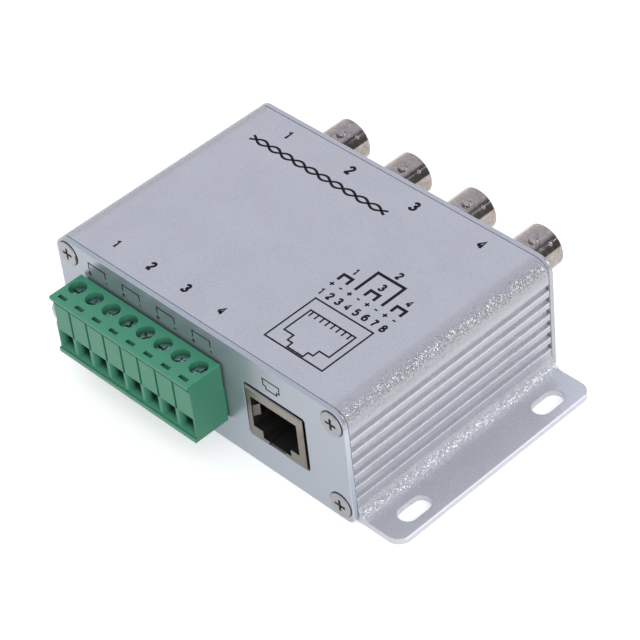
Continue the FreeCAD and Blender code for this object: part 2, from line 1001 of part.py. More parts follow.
def build_clamps():
    """A screw with a slot and a cross, and the cage that it lifts, for each wire."""
    for way in range(WAYS):
        x = plug_x + first_way + s.way_spacing * way
        y = front_face - s.clamp_setback
        screw = Piece(f"clamp_screw_{way + 1}", x=x, y=y, z=board_top + head_seat, turn=CLAMP_TURN * way)
        head = s.well_radius - s.clamp_head_gap
        tip = tongue_top + s.pin_gap - head_seat
        screw.turn(
            "turned",
            "XZ_Plane",
            "Z_Axis",
            Outline(
                (0, tip),
                (s.clamp_shank_radius, tip),
                (s.clamp_shank_radius, 0),
                (head, 0),
                (head, s.clamp_head_height),
                (0, s.clamp_head_height),
            ),
        )
        slot_half = s.clamp_slot_width / 2
        screw.cut(
            "slot",
            "XY_Plane",
            s.clamp_head_height - s.clamp_slot_depth,
            s.clamp_head_height,
            rectangle(-head, head, -slot_half, slot_half),
        )
        screw.cut(
            "cross_arms",
            "XY_Plane",
            s.clamp_head_height - s.clamp_slot_depth,
            s.clamp_head_height,
            rectangle(-slot_half, slot_half, -s.clamp_cross_reach, s.clamp_cross_reach),
        )

        cage = Piece(f"clamp_cage_{way + 1}", x=x, y=y, z=board_top + cage_low)
        half = s.cage_width / 2
        cage.add(
            "block",
            "XY_Plane",
            0,
            s.cage_height,
            rectangle(-half, half, -s.cage_depth / 2, s.cage_depth / 2),
        )
        cage.cut(
            "window",
            "XZ_Plane",
            -s.cage_depth / 2,
            s.cage_depth / 2,
            rectangle(
                s.cage_side - half,
                half - s.cage_side,
                s.cage_floor,
                s.cage_height - s.cage_roof,
            ),
        )
        cage.cut(
            "thread",
            "XY_Plane",
            s.cage_height - s.cage_roof,
            s.cage_height,
            Circle(0, 0, s.clamp_shank_radius + s.clamp_thread_gap),
        )


# Places of the jack's contact wires, behind the plate's face

housing_front = s.shield_thickness - s.jack_proud + s.housing_gap
housing_rear = s.jack_depth - s.jack_proud - s.shield_thickness - s.housing_gap
wire_rear = housing_rear - s.wire_back_gap
wire_top = s.jack_open_high + s.wire_rise


def jack_opening(floor):
    """Front opening of the jack: plug window, key and latch slot down to a floor."""
    half = s.jack_open_width / 2
    key = s.key_width / 2
    latch = s.latch_width / 2
    return Outline(
        (-half, s.jack_open_low),
        (-key, s.jack_open_low),
        (-key, s.key_low),
        (-latch, s.key_low),
        (-latch, floor),
        (latch, floor),
        (latch, s.key_low),
        (key, s.key_low),
        (key, s.jack_open_low),
        (half, s.jack_open_low),
        (half, s.jack_open_high),
        (-half, s.jack_open_high),
    )


def build_jack():
    """Network jack: folded shield, moulded housing and eight spring wires."""
    half = s.jack_width / 2
    face = -s.jack_proud
    back = s.jack_depth - s.jack_proud
    wall = s.shield_thickness
    open_half = s.jack_open_width / 2
    shield = Piece("jack_shield", x=jack_x, y=front_face, z=board_top)
    shield.add("box", "XZ_Plane", face, back, rectangle(-half, half, 0, s.jack_height))

    def front_edge(edge, middle):
        level = abs(middle.y - face.value) < 1e-3
        return level and middle.z > 1e-3

    shield.fillet("rolled_edge", s.jack_edge, front_edge)
    shield.cut(
        "inside",
        "XZ_Plane",
        face + wall,
        back - wall,
        rectangle(wall - half, half - wall, 0, s.jack_height - wall),
    )
    shield.cut("opening", "XZ_Plane", face, face + wall, jack_opening(0))
    root = face + wall
    bow = root + s.spring_bow_place
    tail = root + s.spring_length
    for side, name in ((-1, "left_spring"), (1, "right_spring")):
        inner = open_half * side
        outer = (open_half + wall) * side
        inward = s.spring_bow * side
        shield.add(
            name,
            "XY_Plane",
            s.spring_low,
            s.spring_high,
            Outline(
                (outer, root),
                (inner, root),
                (inner - inward, bow),
                (inner, tail),
                (outer, tail),
                (outer - inward, bow),
            ),
        )

    housing = Piece("jack_housing", x=jack_x, y=front_face, z=board_top)
    inner_half = half - wall - s.housing_gap
    housing.add(
        "block",
        "XZ_Plane",
        housing_front,
        housing_rear,
        rectangle(-inner_half, inner_half, 0, s.jack_height - wall - s.housing_gap),
    )
    cavity_end = housing_front + s.jack_cavity_depth
    housing.cut("cavity", "XZ_Plane", housing_front, cavity_end, jack_opening(s.latch_floor))
    relief = wall + s.wire_slot_gap
    housing.cut(
        "reliefs",
        "XZ_Plane",
        housing_front,
        face + wall + s.spring_length + s.wire_slot_gap,
        rectangle(
            -open_half - relief,
            -open_half,
            s.spring_low - s.wire_slot_gap,
            s.spring_high + s.wire_slot_gap,
        ),
        rectangle(
            open_half,
            open_half + relief,
            s.spring_low - s.wire_slot_gap,
            s.spring_high + s.wire_slot_gap,
        ),
    )
    first_wire = s.wire_spacing * (JACK_WAYS - 1) / -2
    slot_half = s.wire_size / 2 + s.wire_slot_gap
    slot_back = wire_rear - s.wire_size - s.wire_slot_gap
    comb = housing.cut(
        "comb",
        "YZ_Plane",
        first_wire - slot_half,
        first_wire + slot_half,
        Outline(
            (s.wire_front - s.wire_slot_gap, s.jack_open_high),
            (slot_back, s.jack_open_high),
            (slot_back, 0),
            (housing_rear, 0),
            (housing_rear, wire_top + s.wire_slot_gap),
            (s.wire_front - s.wire_slot_gap, wire_top + s.wire_slot_gap),
        ),
    )
    housing.repeat("combs", [comb], "X_Axis", s.wire_spacing, JACK_WAYS)

    wires = Piece("jack_contacts", x=jack_x + first_wire, y=front_face, z=board_top)
    wire_low = wire_top - s.wire_size
    tip_low = s.jack_open_high - s.wire_drop
    tail_low = -s.board_thickness - s.tail_reach
    wire = wires.add(
        "wire",
        "YZ_Plane",
        -s.wire_size / 2,
        s.wire_size / 2,
        Outline(
            (s.wire_front, wire_top),
            (s.wire_front, wire_low),
            (s.wire_tip, tip_low - s.wire_size / 2),
            (s.wire_tip + s.wire_size / 2, tip_low + s.wire_size / 2),
            (s.wire_front + s.wire_size * 2, wire_low),
            (wire_rear - s.wire_size, wire_low),
            (wire_rear - s.wire_size, tail_low),
            (wire_rear, tail_low),
            (wire_rear, wire_top),
        ),
    )
    wires.repeat("row", [wire], "X_Axis", s.wire_spacing, JACK_WAYS)


# Places along a bayonet socket, from the rear plate's face

block_front = -s.plate_thickness
block_rear = block_front - s.block_depth
pocket_front = block_rear + s.block_back
bore_floor = s.bnc_reach - s.bnc_bore_depth
contact_end = pocket_front - s.centre_back
tail_place = contact_end + s.centre_radius


def build_sockets():
    """Four board-mounted bayonet sockets with washers and nuts outside the plate."""
    for channel in range(CHANNELS):
        x = first_bnc + bnc_spacing * channel
        build_socket_body(f"bnc_body_{channel + 1}", x)
        build_socket_core(channel + 1, x)

    washers = Piece("bnc_washers", x=first_bnc, y=rear_face, z=s.bnc_height)
    ring = washers.add(
        "ring",
        "XZ_Plane",
        0,
        s.washer_thickness,
        Circle(0, 0, s.washer_radius),
        Circle(0, 0, s.bnc_radius + s.bnc_hole_gap),
    )
    washers.repeat("row", [ring], "X_Axis", bnc_spacing, CHANNELS)

    nuts = Piece("bnc_nuts", x=first_bnc, y=rear_face, z=s.bnc_height)
    corner = s.nut_across / math.sqrt(3)
    flat = s.nut_across / 2
    nut = nuts.add(
        "hexagon",
        "XZ_Plane",
        s.washer_thickness,
        s.washer_thickness + s.nut_thickness,
        Outline(
            (corner, 0),
            (corner / 2, flat),
            (-corner / 2, flat),
            (-corner, 0),
            (-corner / 2, -flat),
            (corner / 2, -flat),
        ),
        Circle(0, 0, s.bnc_radius + s.nut_gap),
    )
    nuts.repeat("row", [nut], "X_Axis", bnc_spacing, CHANNELS)


def build_socket_body(label, x):
    """Cast socket: a square block on the board and a turned barrel with two lugs."""
    body = Piece(label, x=x, y=rear_face, z=s.bnc_height)
    body.turn(
        "barrel",
        "XY_Plane",
        "Y_Axis",
        Outline(
            (0, block_front),
            (s.bnc_radius, block_front),
            (s.bnc_radius, s.bnc_reach - s.bnc_edge),
            (s.bnc_radius - s.bnc_edge, s.bnc_reach),
            (0, s.bnc_reach),
        ),
    )
    block_half = s.block_width / 2
    body.add(
        "block",
        "XZ_Plane",
        block_rear,
        block_front,
        rectangle(-block_half, block_half, -bnc_axis, block_half),
    )
    lug = body.sketch("lug", "XY_Plane", 0, Circle(0, s.bnc_reach - s.lug_setback, s.lug_radius))
    lug.AttachmentOffset = FreeCAD.Placement(
        FreeCAD.Vector(0, 0, 0),
        FreeCAD.Rotation(FreeCAD.Vector(0, 1, 0), SIZES["lug_tilt"]),
    )
    lug.setExpression(".AttachmentOffset.Rotation.Angle", s.lug_tilt.formula)
    lugs = body.feature("PartDesign::Pad", "lugs")
    lugs.Profile = lug
    lugs.SideType = "Symmetric"
    lugs.setExpression("Length", s.lug_span.formula)
    body.bore(
        "bore",
        "XY_Plane",
        "Y_Axis",
        Outline(
            (0, pocket_front),
            (s.core_radius, pocket_front),
            (s.core_radius, bore_floor),
            (s.bnc_bore, bore_floor),
            (s.bnc_bore, s.bnc_reach),
            (0, s.bnc_reach),
        ),
    )
    body.cut(
        "pocket",
        "XZ_Plane",
        block_rear,
        pocket_front,
        rectangle(-s.core_radius, s.core_radius, -bnc_axis, s.core_radius),
    )


def build_socket_core(number, x):
    """Insulating sleeve and centre contact of one socket."""
    sleeve = Piece(f"bnc_insulator_{number}", x=x, y=rear_face, z=s.bnc_height)
    hole = s.centre_radius + s.sleeve_gap
    disc_low = bore_floor + s.sleeve_gap
    disc_high = disc_low + s.sleeve_disc
    sleeve.turn(
        "turned",
        "XY_Plane",
        "Y_Axis",
        Outline(
            (hole, pocket_front),
            (s.core_radius - s.sleeve_gap, pocket_front),
            (s.core_radius - s.sleeve_gap, disc_low),
            (s.bnc_bore - s.sleeve_gap, disc_low),
            (s.bnc_bore - s.sleeve_gap, disc_high),
            (s.sleeve_radius, disc_high),
            (s.sleeve_radius, s.bnc_reach - s.sleeve_setback),
            (hole, s.bnc_reach - s.sleeve_setback),
        ),
    )
    contact = Piece(f"bnc_contact_{number}", x=x, y=rear_face, z=s.bnc_height)
    tip = s.bnc_reach - s.centre_setback
    contact.turn(
        "turned",
        "XY_Plane",
        "Y_Axis",
        Outline(
            (0, contact_end),
            (s.centre_radius, contact_end),
            (s.centre_radius, tip),
            (s.centre_bore, tip),
            (s.centre_bore, tip - s.centre_bore_depth),
            (0, tip - s.centre_bore_depth),
        ),
    )
    contact.add(
        "tail",
        "XY_Plane",
        -bnc_axis - s.board_thickness - s.tail_reach,
        0,
        Circle(0, tail_place, s.centre_tail),
    )


def build_components():
    """Balun transformers, surge arresters and capacitors on the board."""
    half = s.coil_width / 2
    for channel in range(CHANNELS):
        x = first_bnc + bnc_spacing * channel
        coil = Piece(f"transformer_{channel + 1}", x=x, y=front_face + s.coil_place, z=board_top)
        coil.add(
            "case",
            "YZ_Plane",
            -half,
            half,
            Outline(
                (-s.coil_depth / 2, s.coil_lift),
                (s.coil_depth / 2, s.coil_lift),
                (s.coil_depth / 2, s.coil_height, s.coil_corner),
                (-s.coil_depth / 2, s.coil_height, s.coil_corner),
            ),
        )

    first_lead = s.lead_spacing * (LEADS_PER_SIDE - 1) / -2
    leads = Piece(
        "transformer_leads",
        x=first_bnc + first_lead,
        y=front_face + s.coil_place,
        z=board_top,
    )
    inner = s.coil_depth / 2
    outer = inner + s.lead_thickness
    toe = outer + s.lead_foot
    lead = leads.add(
        "lead",
        "YZ_Plane",
        -s.lead_width / 2,
        s.lead_width / 2,
        Outline(
            (inner, 0),
            (toe, 0),
            (toe, s.lead_thickness),
            (outer, s.lead_thickness),
            (outer, s.lead_rise),
            (inner, s.lead_rise),
        ),
        Outline(
            (-inner, s.lead_rise),
            (-outer, s.lead_rise),
            (-outer, s.lead_thickness),
            (-toe, s.lead_thickness),
            (-toe, 0),
            (-inner, 0),
        ),
    )
    pattern = leads.repeat("set", [lead], "X_Axis", s.lead_spacing, LEADS_PER_SIDE)
    pattern.Direction2 = (leads.origin("X_Axis"), [""])
    pattern.setExpression("Length2", (bnc_spacing * (CHANNELS - 1)).formula)
    pattern.Occurrences2 = CHANNELS

    arresters = Piece(
        "surge_arresters",
        x=plug_x + first_way + s.way_spacing / 2,
        y=front_face + s.arrester_place,
        z=board_top,
    )
    arrester = arresters.add(
        "block",
        "XY_Plane",
        0,
        s.arrester_height,
        rectangle(
            -s.arrester_width / 2,
            s.arrester_width / 2,
            -s.arrester_length / 2,
            s.arrester_length / 2,
        ),
    )
    arresters.repeat("row", [arrester], "X_Axis", s.way_spacing * 2, CHANNELS)

    capacitors = Piece(
        "filter_capacitors",
        x=first_bnc - s.capacitor_spacing / 2,
        y=front_face + s.capacitor_place,
        z=board_top,
    )
    capacitor = capacitors.add(
        "chip",
        "XY_Plane",
        0,
        s.capacitor_height,
        rectangle(
            -s.capacitor_width / 2,
            s.capacitor_width / 2,
            -s.capacitor_length / 2,
            s.capacitor_length / 2,
        ),
    )
    pattern = capacitors.repeat("set", [capacitor], "X_Axis", s.capacitor_spacing, 2)
    pattern.Direction2 = (capacitors.origin("X_Axis"), [""])
    pattern.setExpression("Length2", (bnc_spacing * (CHANNELS - 1)).formula)
    pattern.Occurrences2 = CHANNELS


def plug_window():
    """Opening of the front plate for the plug's nose."""
    return rectangle(
        plug_x - nose_half - s.nose_gap,
        plug_x + nose_half + s.nose_gap,
        board_top + s.nose_low - s.nose_gap,
        board_top + s.nose_high + s.nose_gap,
    )


def jack_window():
    """Opening of the front plate for the jack, with the play seen beside it."""
    left = jack_x - s.jack_width / 2 - s.jack_play_left
    right = jack_x + s.jack_width / 2 + s.jack_play_right
    low = board_top - s.jack_play_bottom
    high = board_top + s.jack_height + s.jack_play_top
    corner = s.jack_window_corner
    return Outline(
        (left, low, corner),
        (right, low, corner),
        (right, high, corner),
        (left, high, corner),
    )


def socket_holes():
    """Round holes of the rear plate for the bayonet sockets."""
    radius = s.bnc_radius + s.bnc_hole_gap
    return [Circle(first_bnc + bnc_spacing * channel, s.bnc_height, radius) for channel in range(CHANNELS)]


def write_parts():
    """Checks every object and writes one file for each piece."""
    doc.recompute()
    for thing in doc.Objects:
        if "Invalid" in thing.State or "Error" in thing.State:
            raise ValueError(f"{thing.Name} is {thing.State}")
    for cut in cuts:
        if cut.Shape.Volume > cut.BaseFeature.Shape.Volume - 1e-3:
            raise ValueError(f"{cut.Name} cuts nothing")
    os.makedirs("parts", exist_ok=True)
    for piece in pieces:
        shape = piece.body.Shape
        if shape.isNull() or not shape.isValid() or not shape.Solids:
            raise ValueError(f"{piece.label} has no valid shape")
        shape.exportStep(f"parts/{piece.label}.step")


build_enclosure()
build_end_plate("front_plate", front_face, 0, [plug_window(), jack_window()])
build_end_plate("rear_plate", rear_face, 180, socket_holes())
build_plate_screws("front_plate_screws", front_face, 0)
build_plate_screws("rear_plate_screws", rear_face, 180)
build_board()
build_header()
build_plug()
build_clamps()
build_jack()
build_sockets()
build_components()
write_parts()
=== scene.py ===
"""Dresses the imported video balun: finishes, softened edges, printed marks and a studio."""

import json
import logging
import math
from contextlib import contextmanager
from dataclasses import dataclass, field
from enum import Enum
from typing import Callable, Iterator, Sequence

import bpy
from mathutils import Matrix, Vector

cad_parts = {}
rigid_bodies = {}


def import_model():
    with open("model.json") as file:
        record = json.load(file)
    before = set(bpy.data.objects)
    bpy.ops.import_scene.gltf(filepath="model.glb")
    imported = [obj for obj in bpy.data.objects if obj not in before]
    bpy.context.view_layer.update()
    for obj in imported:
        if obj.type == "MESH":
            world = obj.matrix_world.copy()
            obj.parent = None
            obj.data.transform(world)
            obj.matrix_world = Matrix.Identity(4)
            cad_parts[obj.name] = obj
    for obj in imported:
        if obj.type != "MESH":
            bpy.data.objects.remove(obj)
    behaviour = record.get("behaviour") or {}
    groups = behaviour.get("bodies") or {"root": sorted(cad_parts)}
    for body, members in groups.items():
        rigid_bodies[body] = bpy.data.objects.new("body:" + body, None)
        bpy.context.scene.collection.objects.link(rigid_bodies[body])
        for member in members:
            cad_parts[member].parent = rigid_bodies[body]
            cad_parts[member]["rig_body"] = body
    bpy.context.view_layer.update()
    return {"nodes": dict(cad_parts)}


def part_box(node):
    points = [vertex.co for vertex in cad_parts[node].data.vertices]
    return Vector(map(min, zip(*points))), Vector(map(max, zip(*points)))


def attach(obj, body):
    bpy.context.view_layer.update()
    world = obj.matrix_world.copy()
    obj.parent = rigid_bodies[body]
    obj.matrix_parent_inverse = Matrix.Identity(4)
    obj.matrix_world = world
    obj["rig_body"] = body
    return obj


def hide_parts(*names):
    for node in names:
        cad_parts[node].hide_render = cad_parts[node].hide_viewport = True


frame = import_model()

MM = 0.001
CHANNELS = 4
WAYS = 8
ROUND_STEPS = 3
BALL_SIDES = 24
CURVE_STEPS = 5

Triple = tuple[float, float, float]
Point = tuple[float, float]
Chooser = Callable[[Vector], bool]

logging.basicConfig(level=logging.INFO, format="%(message)s")
log = logging.getLogger("video_balun")


# Helpers for objects


def deselect() -> None:
    """Leaves edit mode and deselects every object."""
    if bpy.context.object and bpy.context.object.mode != "OBJECT":
        bpy.ops.object.mode_set(mode="OBJECT")
    bpy.ops.object.select_all(action="DESELECT")


def activate(piece: bpy.types.Object) -> None:
    """Makes one object the only selected and the active one.

    Args:
        piece: The object.
    """
    deselect()
    piece.select_set(True)
    bpy.context.view_layer.objects.active = piece


@contextmanager
def editing(piece: bpy.types.Object, chosen: Chooser | None = None) -> Iterator[None]:
    """Opens an object in edit mode.

    Args:
        piece: The object.
        chosen: Says which corners are selected. Without it all of them are.
    """
    activate(piece)
    bpy.ops.object.mode_set(mode="EDIT")
    bpy.ops.mesh.select_all(action="DESELECT" if chosen else "SELECT")
    if chosen:
        bpy.ops.object.mode_set(mode="OBJECT")
        for corner in piece.data.vertices:
            corner.select = chosen(corner.co)
        bpy.ops.object.mode_set(mode="EDIT")
    yield
    bpy.ops.object.mode_set(mode="OBJECT")


def link(name: str, data: bpy.types.ID) -> bpy.types.Object:
    """Puts a new object in the scene.

    Args:
        name: Its name.
        data: Its mesh, curve, light or camera.

    Returns:
        The object.
    """
    piece = bpy.data.objects.new(name, data)
    bpy.context.scene.collection.objects.link(piece)
    return piece


def settle(piece: bpy.types.Object) -> None:
    """Moves an object's place, turn and scale into its mesh."""
    activate(piece)
    bpy.ops.object.transform_apply(location=True, rotation=True, scale=True)


def round_off(piece: bpy.types.Object, width: float, chosen: Chooser) -> None:
    """Rounds the edges between chosen corners, by a width in millimetres."""
    with editing(piece, chosen):
        bpy.ops.mesh.bevel(
            offset=width * MM, segments=ROUND_STEPS, affect="EDGES", clamp_overlap=False
        )


def mirrored(middle: float, half: Sequence[Point]) -> list[Point]:
    """Completes an outline from its right half.

    Args:
        middle: The middle's x.
        half: Points of the right half, from top to foot, with x from the middle.

    Returns:
        All the points, clockwise from the upper left one.
    """
    right = [(middle + x, y) for x, y in half]
    left = [(middle - x, y) for x, y in reversed(half)]
    return left[-1:] + right + left[:-1]


def corners(node: str) -> tuple[Triple, Triple]:
    """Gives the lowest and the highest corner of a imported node's box, in millimetres."""
    low, high = (tuple(value / MM for value in corner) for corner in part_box(node))
    return low, high


# Finishes and the shader groups that they share


class NodeSheet:
    """A node tree that is filled in code. Wherever it takes a value, an output can stand instead."""

    def __init__(self, tree: bpy.types.NodeTree) -> None:
        """Starts with an empty tree.

        Args:
            tree: The tree to fill.
        """
        self.tree = tree
        tree.nodes.clear()

    def put(self, value: object, target: bpy.types.NodeSocket) -> None:
        """Sets an input to a value, or links it to an output.

        Args:
            value: The value or the output.
            target: The input.
        """
        if isinstance(value, bpy.types.NodeSocket):
            self.tree.links.new(value, target)
        else:
            target.default_value = value

    def add(self, kind: str, *terms: object, **values: object) -> bpy.types.Node:
        """Adds a node.

        Args:
            kind: The node's type.
            terms: Values of its first inputs, in order.
            values: Attributes of the node, or values of its inputs with _ for a space.

        Returns:
            The new node.
        """
        node = self.tree.nodes.new(kind)
        for word, value in values.items():
            if hasattr(node, word):
                setattr(node, word, value)
            else:
                self.put(value, node.inputs[word.replace("_", " ")])
        for number, term in enumerate(terms):
            self.put(term, node.inputs[number])
        return node

    def maths(self, operation: str, *terms: object) -> bpy.types.NodeSocket:
        """Works on numbers and gives the result's output."""
        return self.add("ShaderNodeMath", *terms, operation=operation).outputs[0]

    def vector(self, operation: str, *terms: object) -> bpy.types.NodeSocket:
        """Works on vectors and gives the result's output."""
        return self.add("ShaderNodeVectorMath", *terms, operation=operation).outputs[0]

    def scaled(self, factor: object, change: object, base: object = 1.0) -> bpy.types.NodeSocket:
        """Gives the base plus a change that grows with the factor."""
        return self.maths("MULTIPLY_ADD", factor, change, base)

    def ramp(self, value: bpy.types.NodeSocket, low: float, high: float) -> bpy.types.NodeSocket:
        """Stretches a value so that low gives 0 and high gives 1."""
        node = self.add("ShaderNodeMapRange", clamp=True, Value=value, From_Min=low, From_Max=high)
        return node.outputs["Result"]

    def tint(self, colour: bpy.types.NodeSocket, factor: bpy.types.NodeSocket) -> bpy.types.NodeSocket:
        """Multiplies a colour by a value."""
        node = self.add("ShaderNodeVectorMath", colour, operation="SCALE", Scale=factor)
        return node.outputs[0]


def open_group(
    name: str, inputs: dict[str, str], outputs: dict[str, str]
) -> tuple[NodeSheet, bpy.types.bpy_prop_collection]:
    """Starts a node group.

    Args:
        name: Its name.
        inputs: Its inputs and their kinds.
        outputs: Its outputs and their kinds.

    Returns:
        The group's sheet, and what comes in from the inputs.
    """
    tree = bpy.data.node_groups.new(name, "ShaderNodeTree")
    for way, sockets in (("INPUT", inputs), ("OUTPUT", outputs)):
        for word, kind in sockets.items():
            tree.interface.new_socket(word, in_out=way, socket_type=f"NodeSocket{kind}")
    sheet = NodeSheet(tree)
    return sheet, sheet.add("NodeGroupInput").outputs


class Effect(Enum):
    """How a surface varies over itself."""

    BLASTED = "blasted_grain"
    MOULDED = "moulded_skin"
    PLATED = "plating_clouds"


@dataclass(frozen=True)
class Pattern:
    """The textures behind an effect.

    Attributes:
        kind: The fine texture's node type.
        output: The output of that node that gives the grain's height.
        broad: Scale of the broad texture, as a share of the grain.
        values: Settings of the fine texture.
    """

    kind: str
    output: str
    broad: float
    values: dict[str, object]


PATTERNS = {
    Effect.BLASTED: Pattern("ShaderNodeTexVoronoi", "Distance", 0.02, {"feature": "F1"}),
    Effect.MOULDED: Pattern("ShaderNodeTexNoise", "Fac", 0.03, {"Detail": 3.0, "Roughness": 0.7}),
    Effect.PLATED: Pattern("ShaderNodeTexNoise", "Fac", 0.12, {"Detail": 4.0, "Roughness": 0.6}),
}
# The texture values that become 0 and 1, and the fine pattern's weight over the broad one's.
WINDOW = (0.3, 0.7)
FINE_WEIGHT = 3.0


def effect_group(effect: Effect) -> bpy.types.NodeTree:
    """Gives an effect's group, built on first use. All of them have the same inputs and outputs.

    Args:
        effect: The effect.

    Returns:
        The group. Polish and Height run from 0 to 1, and Tilt from -0.5 to 0.5 on each axis.
    """
    known = bpy.data.node_groups.get(effect.value)
    if known:
        return known
    inputs = {"Vector": "Vector", "Colour": "Color", "Grain": "Float", "Contrast": "Float"}
    outputs = {"Colour": "Color", "Polish": "Float", "Height": "Float", "Tilt": "Vector"}
    sheet, start = open_group(effect.value, inputs, outputs)
    pattern = PATTERNS[effect]
    place, grain = start["Vector"], start["Grain"]
    small = sheet.add(pattern.kind, **pattern.values, Vector=place, Scale=grain)
    share = sheet.maths("MULTIPLY", grain, pattern.broad)
    large = sheet.add("ShaderNodeTexNoise", Detail=2.0, Vector=place, Scale=share)
    fine = sheet.ramp(small.outputs[pattern.output], *WINDOW)
    broad = sheet.ramp(large.outputs["Fac"], *WINDOW)
    shade = sheet.scaled(sheet.scaled(fine, FINE_WEIGHT, broad), 2.0 / (FINE_WEIGHT + 1.0), -1.0)
    sheet.add(
        "NodeGroupOutput",
        Colour=sheet.tint(start["Colour"], sheet.scaled(shade, start["Contrast"])),
        Polish=broad,
        Height=fine,
        Tilt=sheet.vector("SUBTRACT", small.outputs["Color"], (0.5, 0.5, 0.5)),
    )
    return sheet.tree


def block_mask() -> bpy.types.NodeTree:
    """Gives the group that is 1 inside a block and fades to 0 at its faces, built on first use.

    Returns:
        The group.
    """
    name = "block_mask"
    known = bpy.data.node_groups.get(name)
    if known:
        return known
    inputs = {"Vector": "Vector", "Low": "Vector", "High": "Vector", "Fade": "Float"}
    sheet, start = open_group(name, inputs, {"Mask": "Float"})
    above = sheet.vector("SUBTRACT", start["Vector"], start["Low"])
    below = sheet.vector("SUBTRACT", start["High"], start["Vector"])
    axes = sheet.add("ShaderNodeSeparateXYZ", sheet.vector("MINIMUM", above, below)).outputs
    depth = sheet.maths("MINIMUM", axes[0], sheet.maths("MINIMUM", axes[1], axes[2]))
    share = sheet.maths("MAXIMUM", sheet.maths("DIVIDE", depth, start["Fade"]), 0.0)
    sheet.add("NodeGroupOutput", Mask=sheet.maths("MINIMUM", share, 1.0))
    return sheet.tree


@dataclass(frozen=True)
class Zone:
    """A block of space in which a finish's colour is painted darker or lighter, as painted shade or painted
    light, or its grains lean more.

    Attributes:
        low: Its lowest corner, in millimetres.
        high: Its highest corner.
        light: What the colour is multiplied by inside, as painted shade or painted light.
        fade: Distance from the block's faces over which this comes in.
        sparkle: What the lean of the grains is multiplied by inside.
    """

    low: Triple
    high: Triple
    light: float
    fade: float
    sparkle: float = 1.0


@dataclass(frozen=True)
class Finish:
    """One surface finish.

    Attributes:
        name: The material's name.
        colour: The base colour, linear.
        roughness: The roughness at the middle of its range.
        effect: How the surface varies.
        metallic: 1 for bare metal, 0 for plastic.
        grain: Fine features in each metre.
        depth: Height of the grain, in metres.
        contrast: How much the grain changes the colour.
        polish: How much the roughness varies.
        coat: Weight of a clear top layer.
        shine: Strength of a plastic's reflections.
        sparkle: How far each grain leans.
        zones: Where the colour carries painted shade or painted light, or the grains lean more.
    """

    name: str
    colour: Triple
    roughness: float
    effect: Effect = Effect.MOULDED
    metallic: float = 0.0
    grain: float = 3200.0
    depth: float = 4e-6
    contrast: float = 0.10
    polish: float = 0.10
    coat: float = 0.0
    shine: float = 0.5
    sparkle: float = 0.0
    zones: tuple[Zone, ...] = ()

    def material(self) -> bpy.types.Material:
        """Gives the material, built on first use.

        Returns:
            The material.
        """
        known = bpy.data.materials.get(self.name)
        if known:
            return known
        material = bpy.data.materials.new(self.name)
        material.use_nodes = True
        sheet = NodeSheet(material.node_tree)
        place = sheet.add("ShaderNodeTexCoord").outputs["Object"]
        effect = sheet.add(
            "ShaderNodeGroup",
            node_tree=effect_group(self.effect),
            Vector=place,
            Colour=(*self.colour, 1.0),
            Grain=self.grain,
            Contrast=self.contrast,
        ).outputs
        colour = effect["Colour"]
        sparkle = sheet.maths("ADD", self.sparkle, 0.0)
        # Each zone paints shade or light into the colour, and may make the grains lean more.
        for zone in self.zones:
            share = sheet.add(
                "ShaderNodeGroup",
                node_tree=block_mask(),
                Vector=place,
                Low=[value * MM for value in zone.low],
                High=[value * MM for value in zone.high],
                Fade=zone.fade * MM,
            ).outputs["Mask"]
            colour = sheet.tint(colour, sheet.scaled(share, zone.light - 1.0))
            if zone.sparkle != 1.0:
                sparkle = sheet.maths("MULTIPLY", sparkle, sheet.scaled(share, zone.sparkle - 1.0))
        bump = sheet.add("ShaderNodeBump", Distance=self.depth, Strength=1.0, Height=effect["Height"])
        lean = sheet.vector("MULTIPLY_ADD", effect["Tilt"], sparkle, bump.outputs["Normal"])
        surface = sheet.add(
            "ShaderNodeBsdfPrincipled",
            Metallic=self.metallic,
            Coat_Weight=self.coat,
            Specular_IOR_Level=self.shine,
            Base_Color=colour,
            Roughness=sheet.scaled(effect["Polish"], self.polish, self.roughness - self.polish / 2),
            Normal=sheet.vector("NORMALIZE", lean),
        )
        sheet.add("ShaderNodeOutputMaterial", Surface=surface.outputs["BSDF"])
        return material


@dataclass(frozen=True)
class Blasting(Finish):
    """Blasted and anodised aluminium."""

    effect: Effect = Effect.BLASTED
    metallic: float = 0.65
    grain: float = 4200.0
    depth: float = 5e-6
    contrast: float = 0.04
    polish: float = 0.04


@dataclass(frozen=True)
class Plating(Finish):
    """A bare or plated metal."""

    effect: Effect = Effect.PLATED
    metallic: float = 1.0
    grain: float = 2500.0
    depth: float = 3e-6
    contrast: float = 0.08
    polish: float = 0.12


CASE_LOW, CASE_HIGH = corners("enclosure")
GROOVES = 6
GROOVE_LIP = 6.1
GROOVE_PITCH = 3.03
FLANGE_TOP = 1.5
MARGIN = 1.0


def flanks(
    inner: float, outer: float, low: float, high: float, light: float, fade: float, sparkle: float = 1.0
) -> tuple[Zone, Zone]:
    """Gives the same zone on both sides of the case, along its whole depth.

    Args:
        inner: The zone's inner face, from the case's middle.
        outer: Its outer face.
        low: Its lower face, from the case's underside.
        high: Its upper face.
        light: What the colour is multiplied by, as painted shade or painted light.
        fade: Distance from the faces over which this comes in.
        sparkle: What the lean of the grains is multiplied by.

    Returns:
        The left and the right zone.
    """
    front, back = CASE_LOW[1] - 3.0 * MARGIN, CASE_HIGH[1] + 3.0 * MARGIN
    foot = CASE_LOW[2]
    return (
        Zone((-outer, front, foot + low), (-inner, back, foot + high), light, fade, sparkle),
        Zone((inner, front, foot + low), (outer, back, foot + high), light, fade, sparkle),
    )


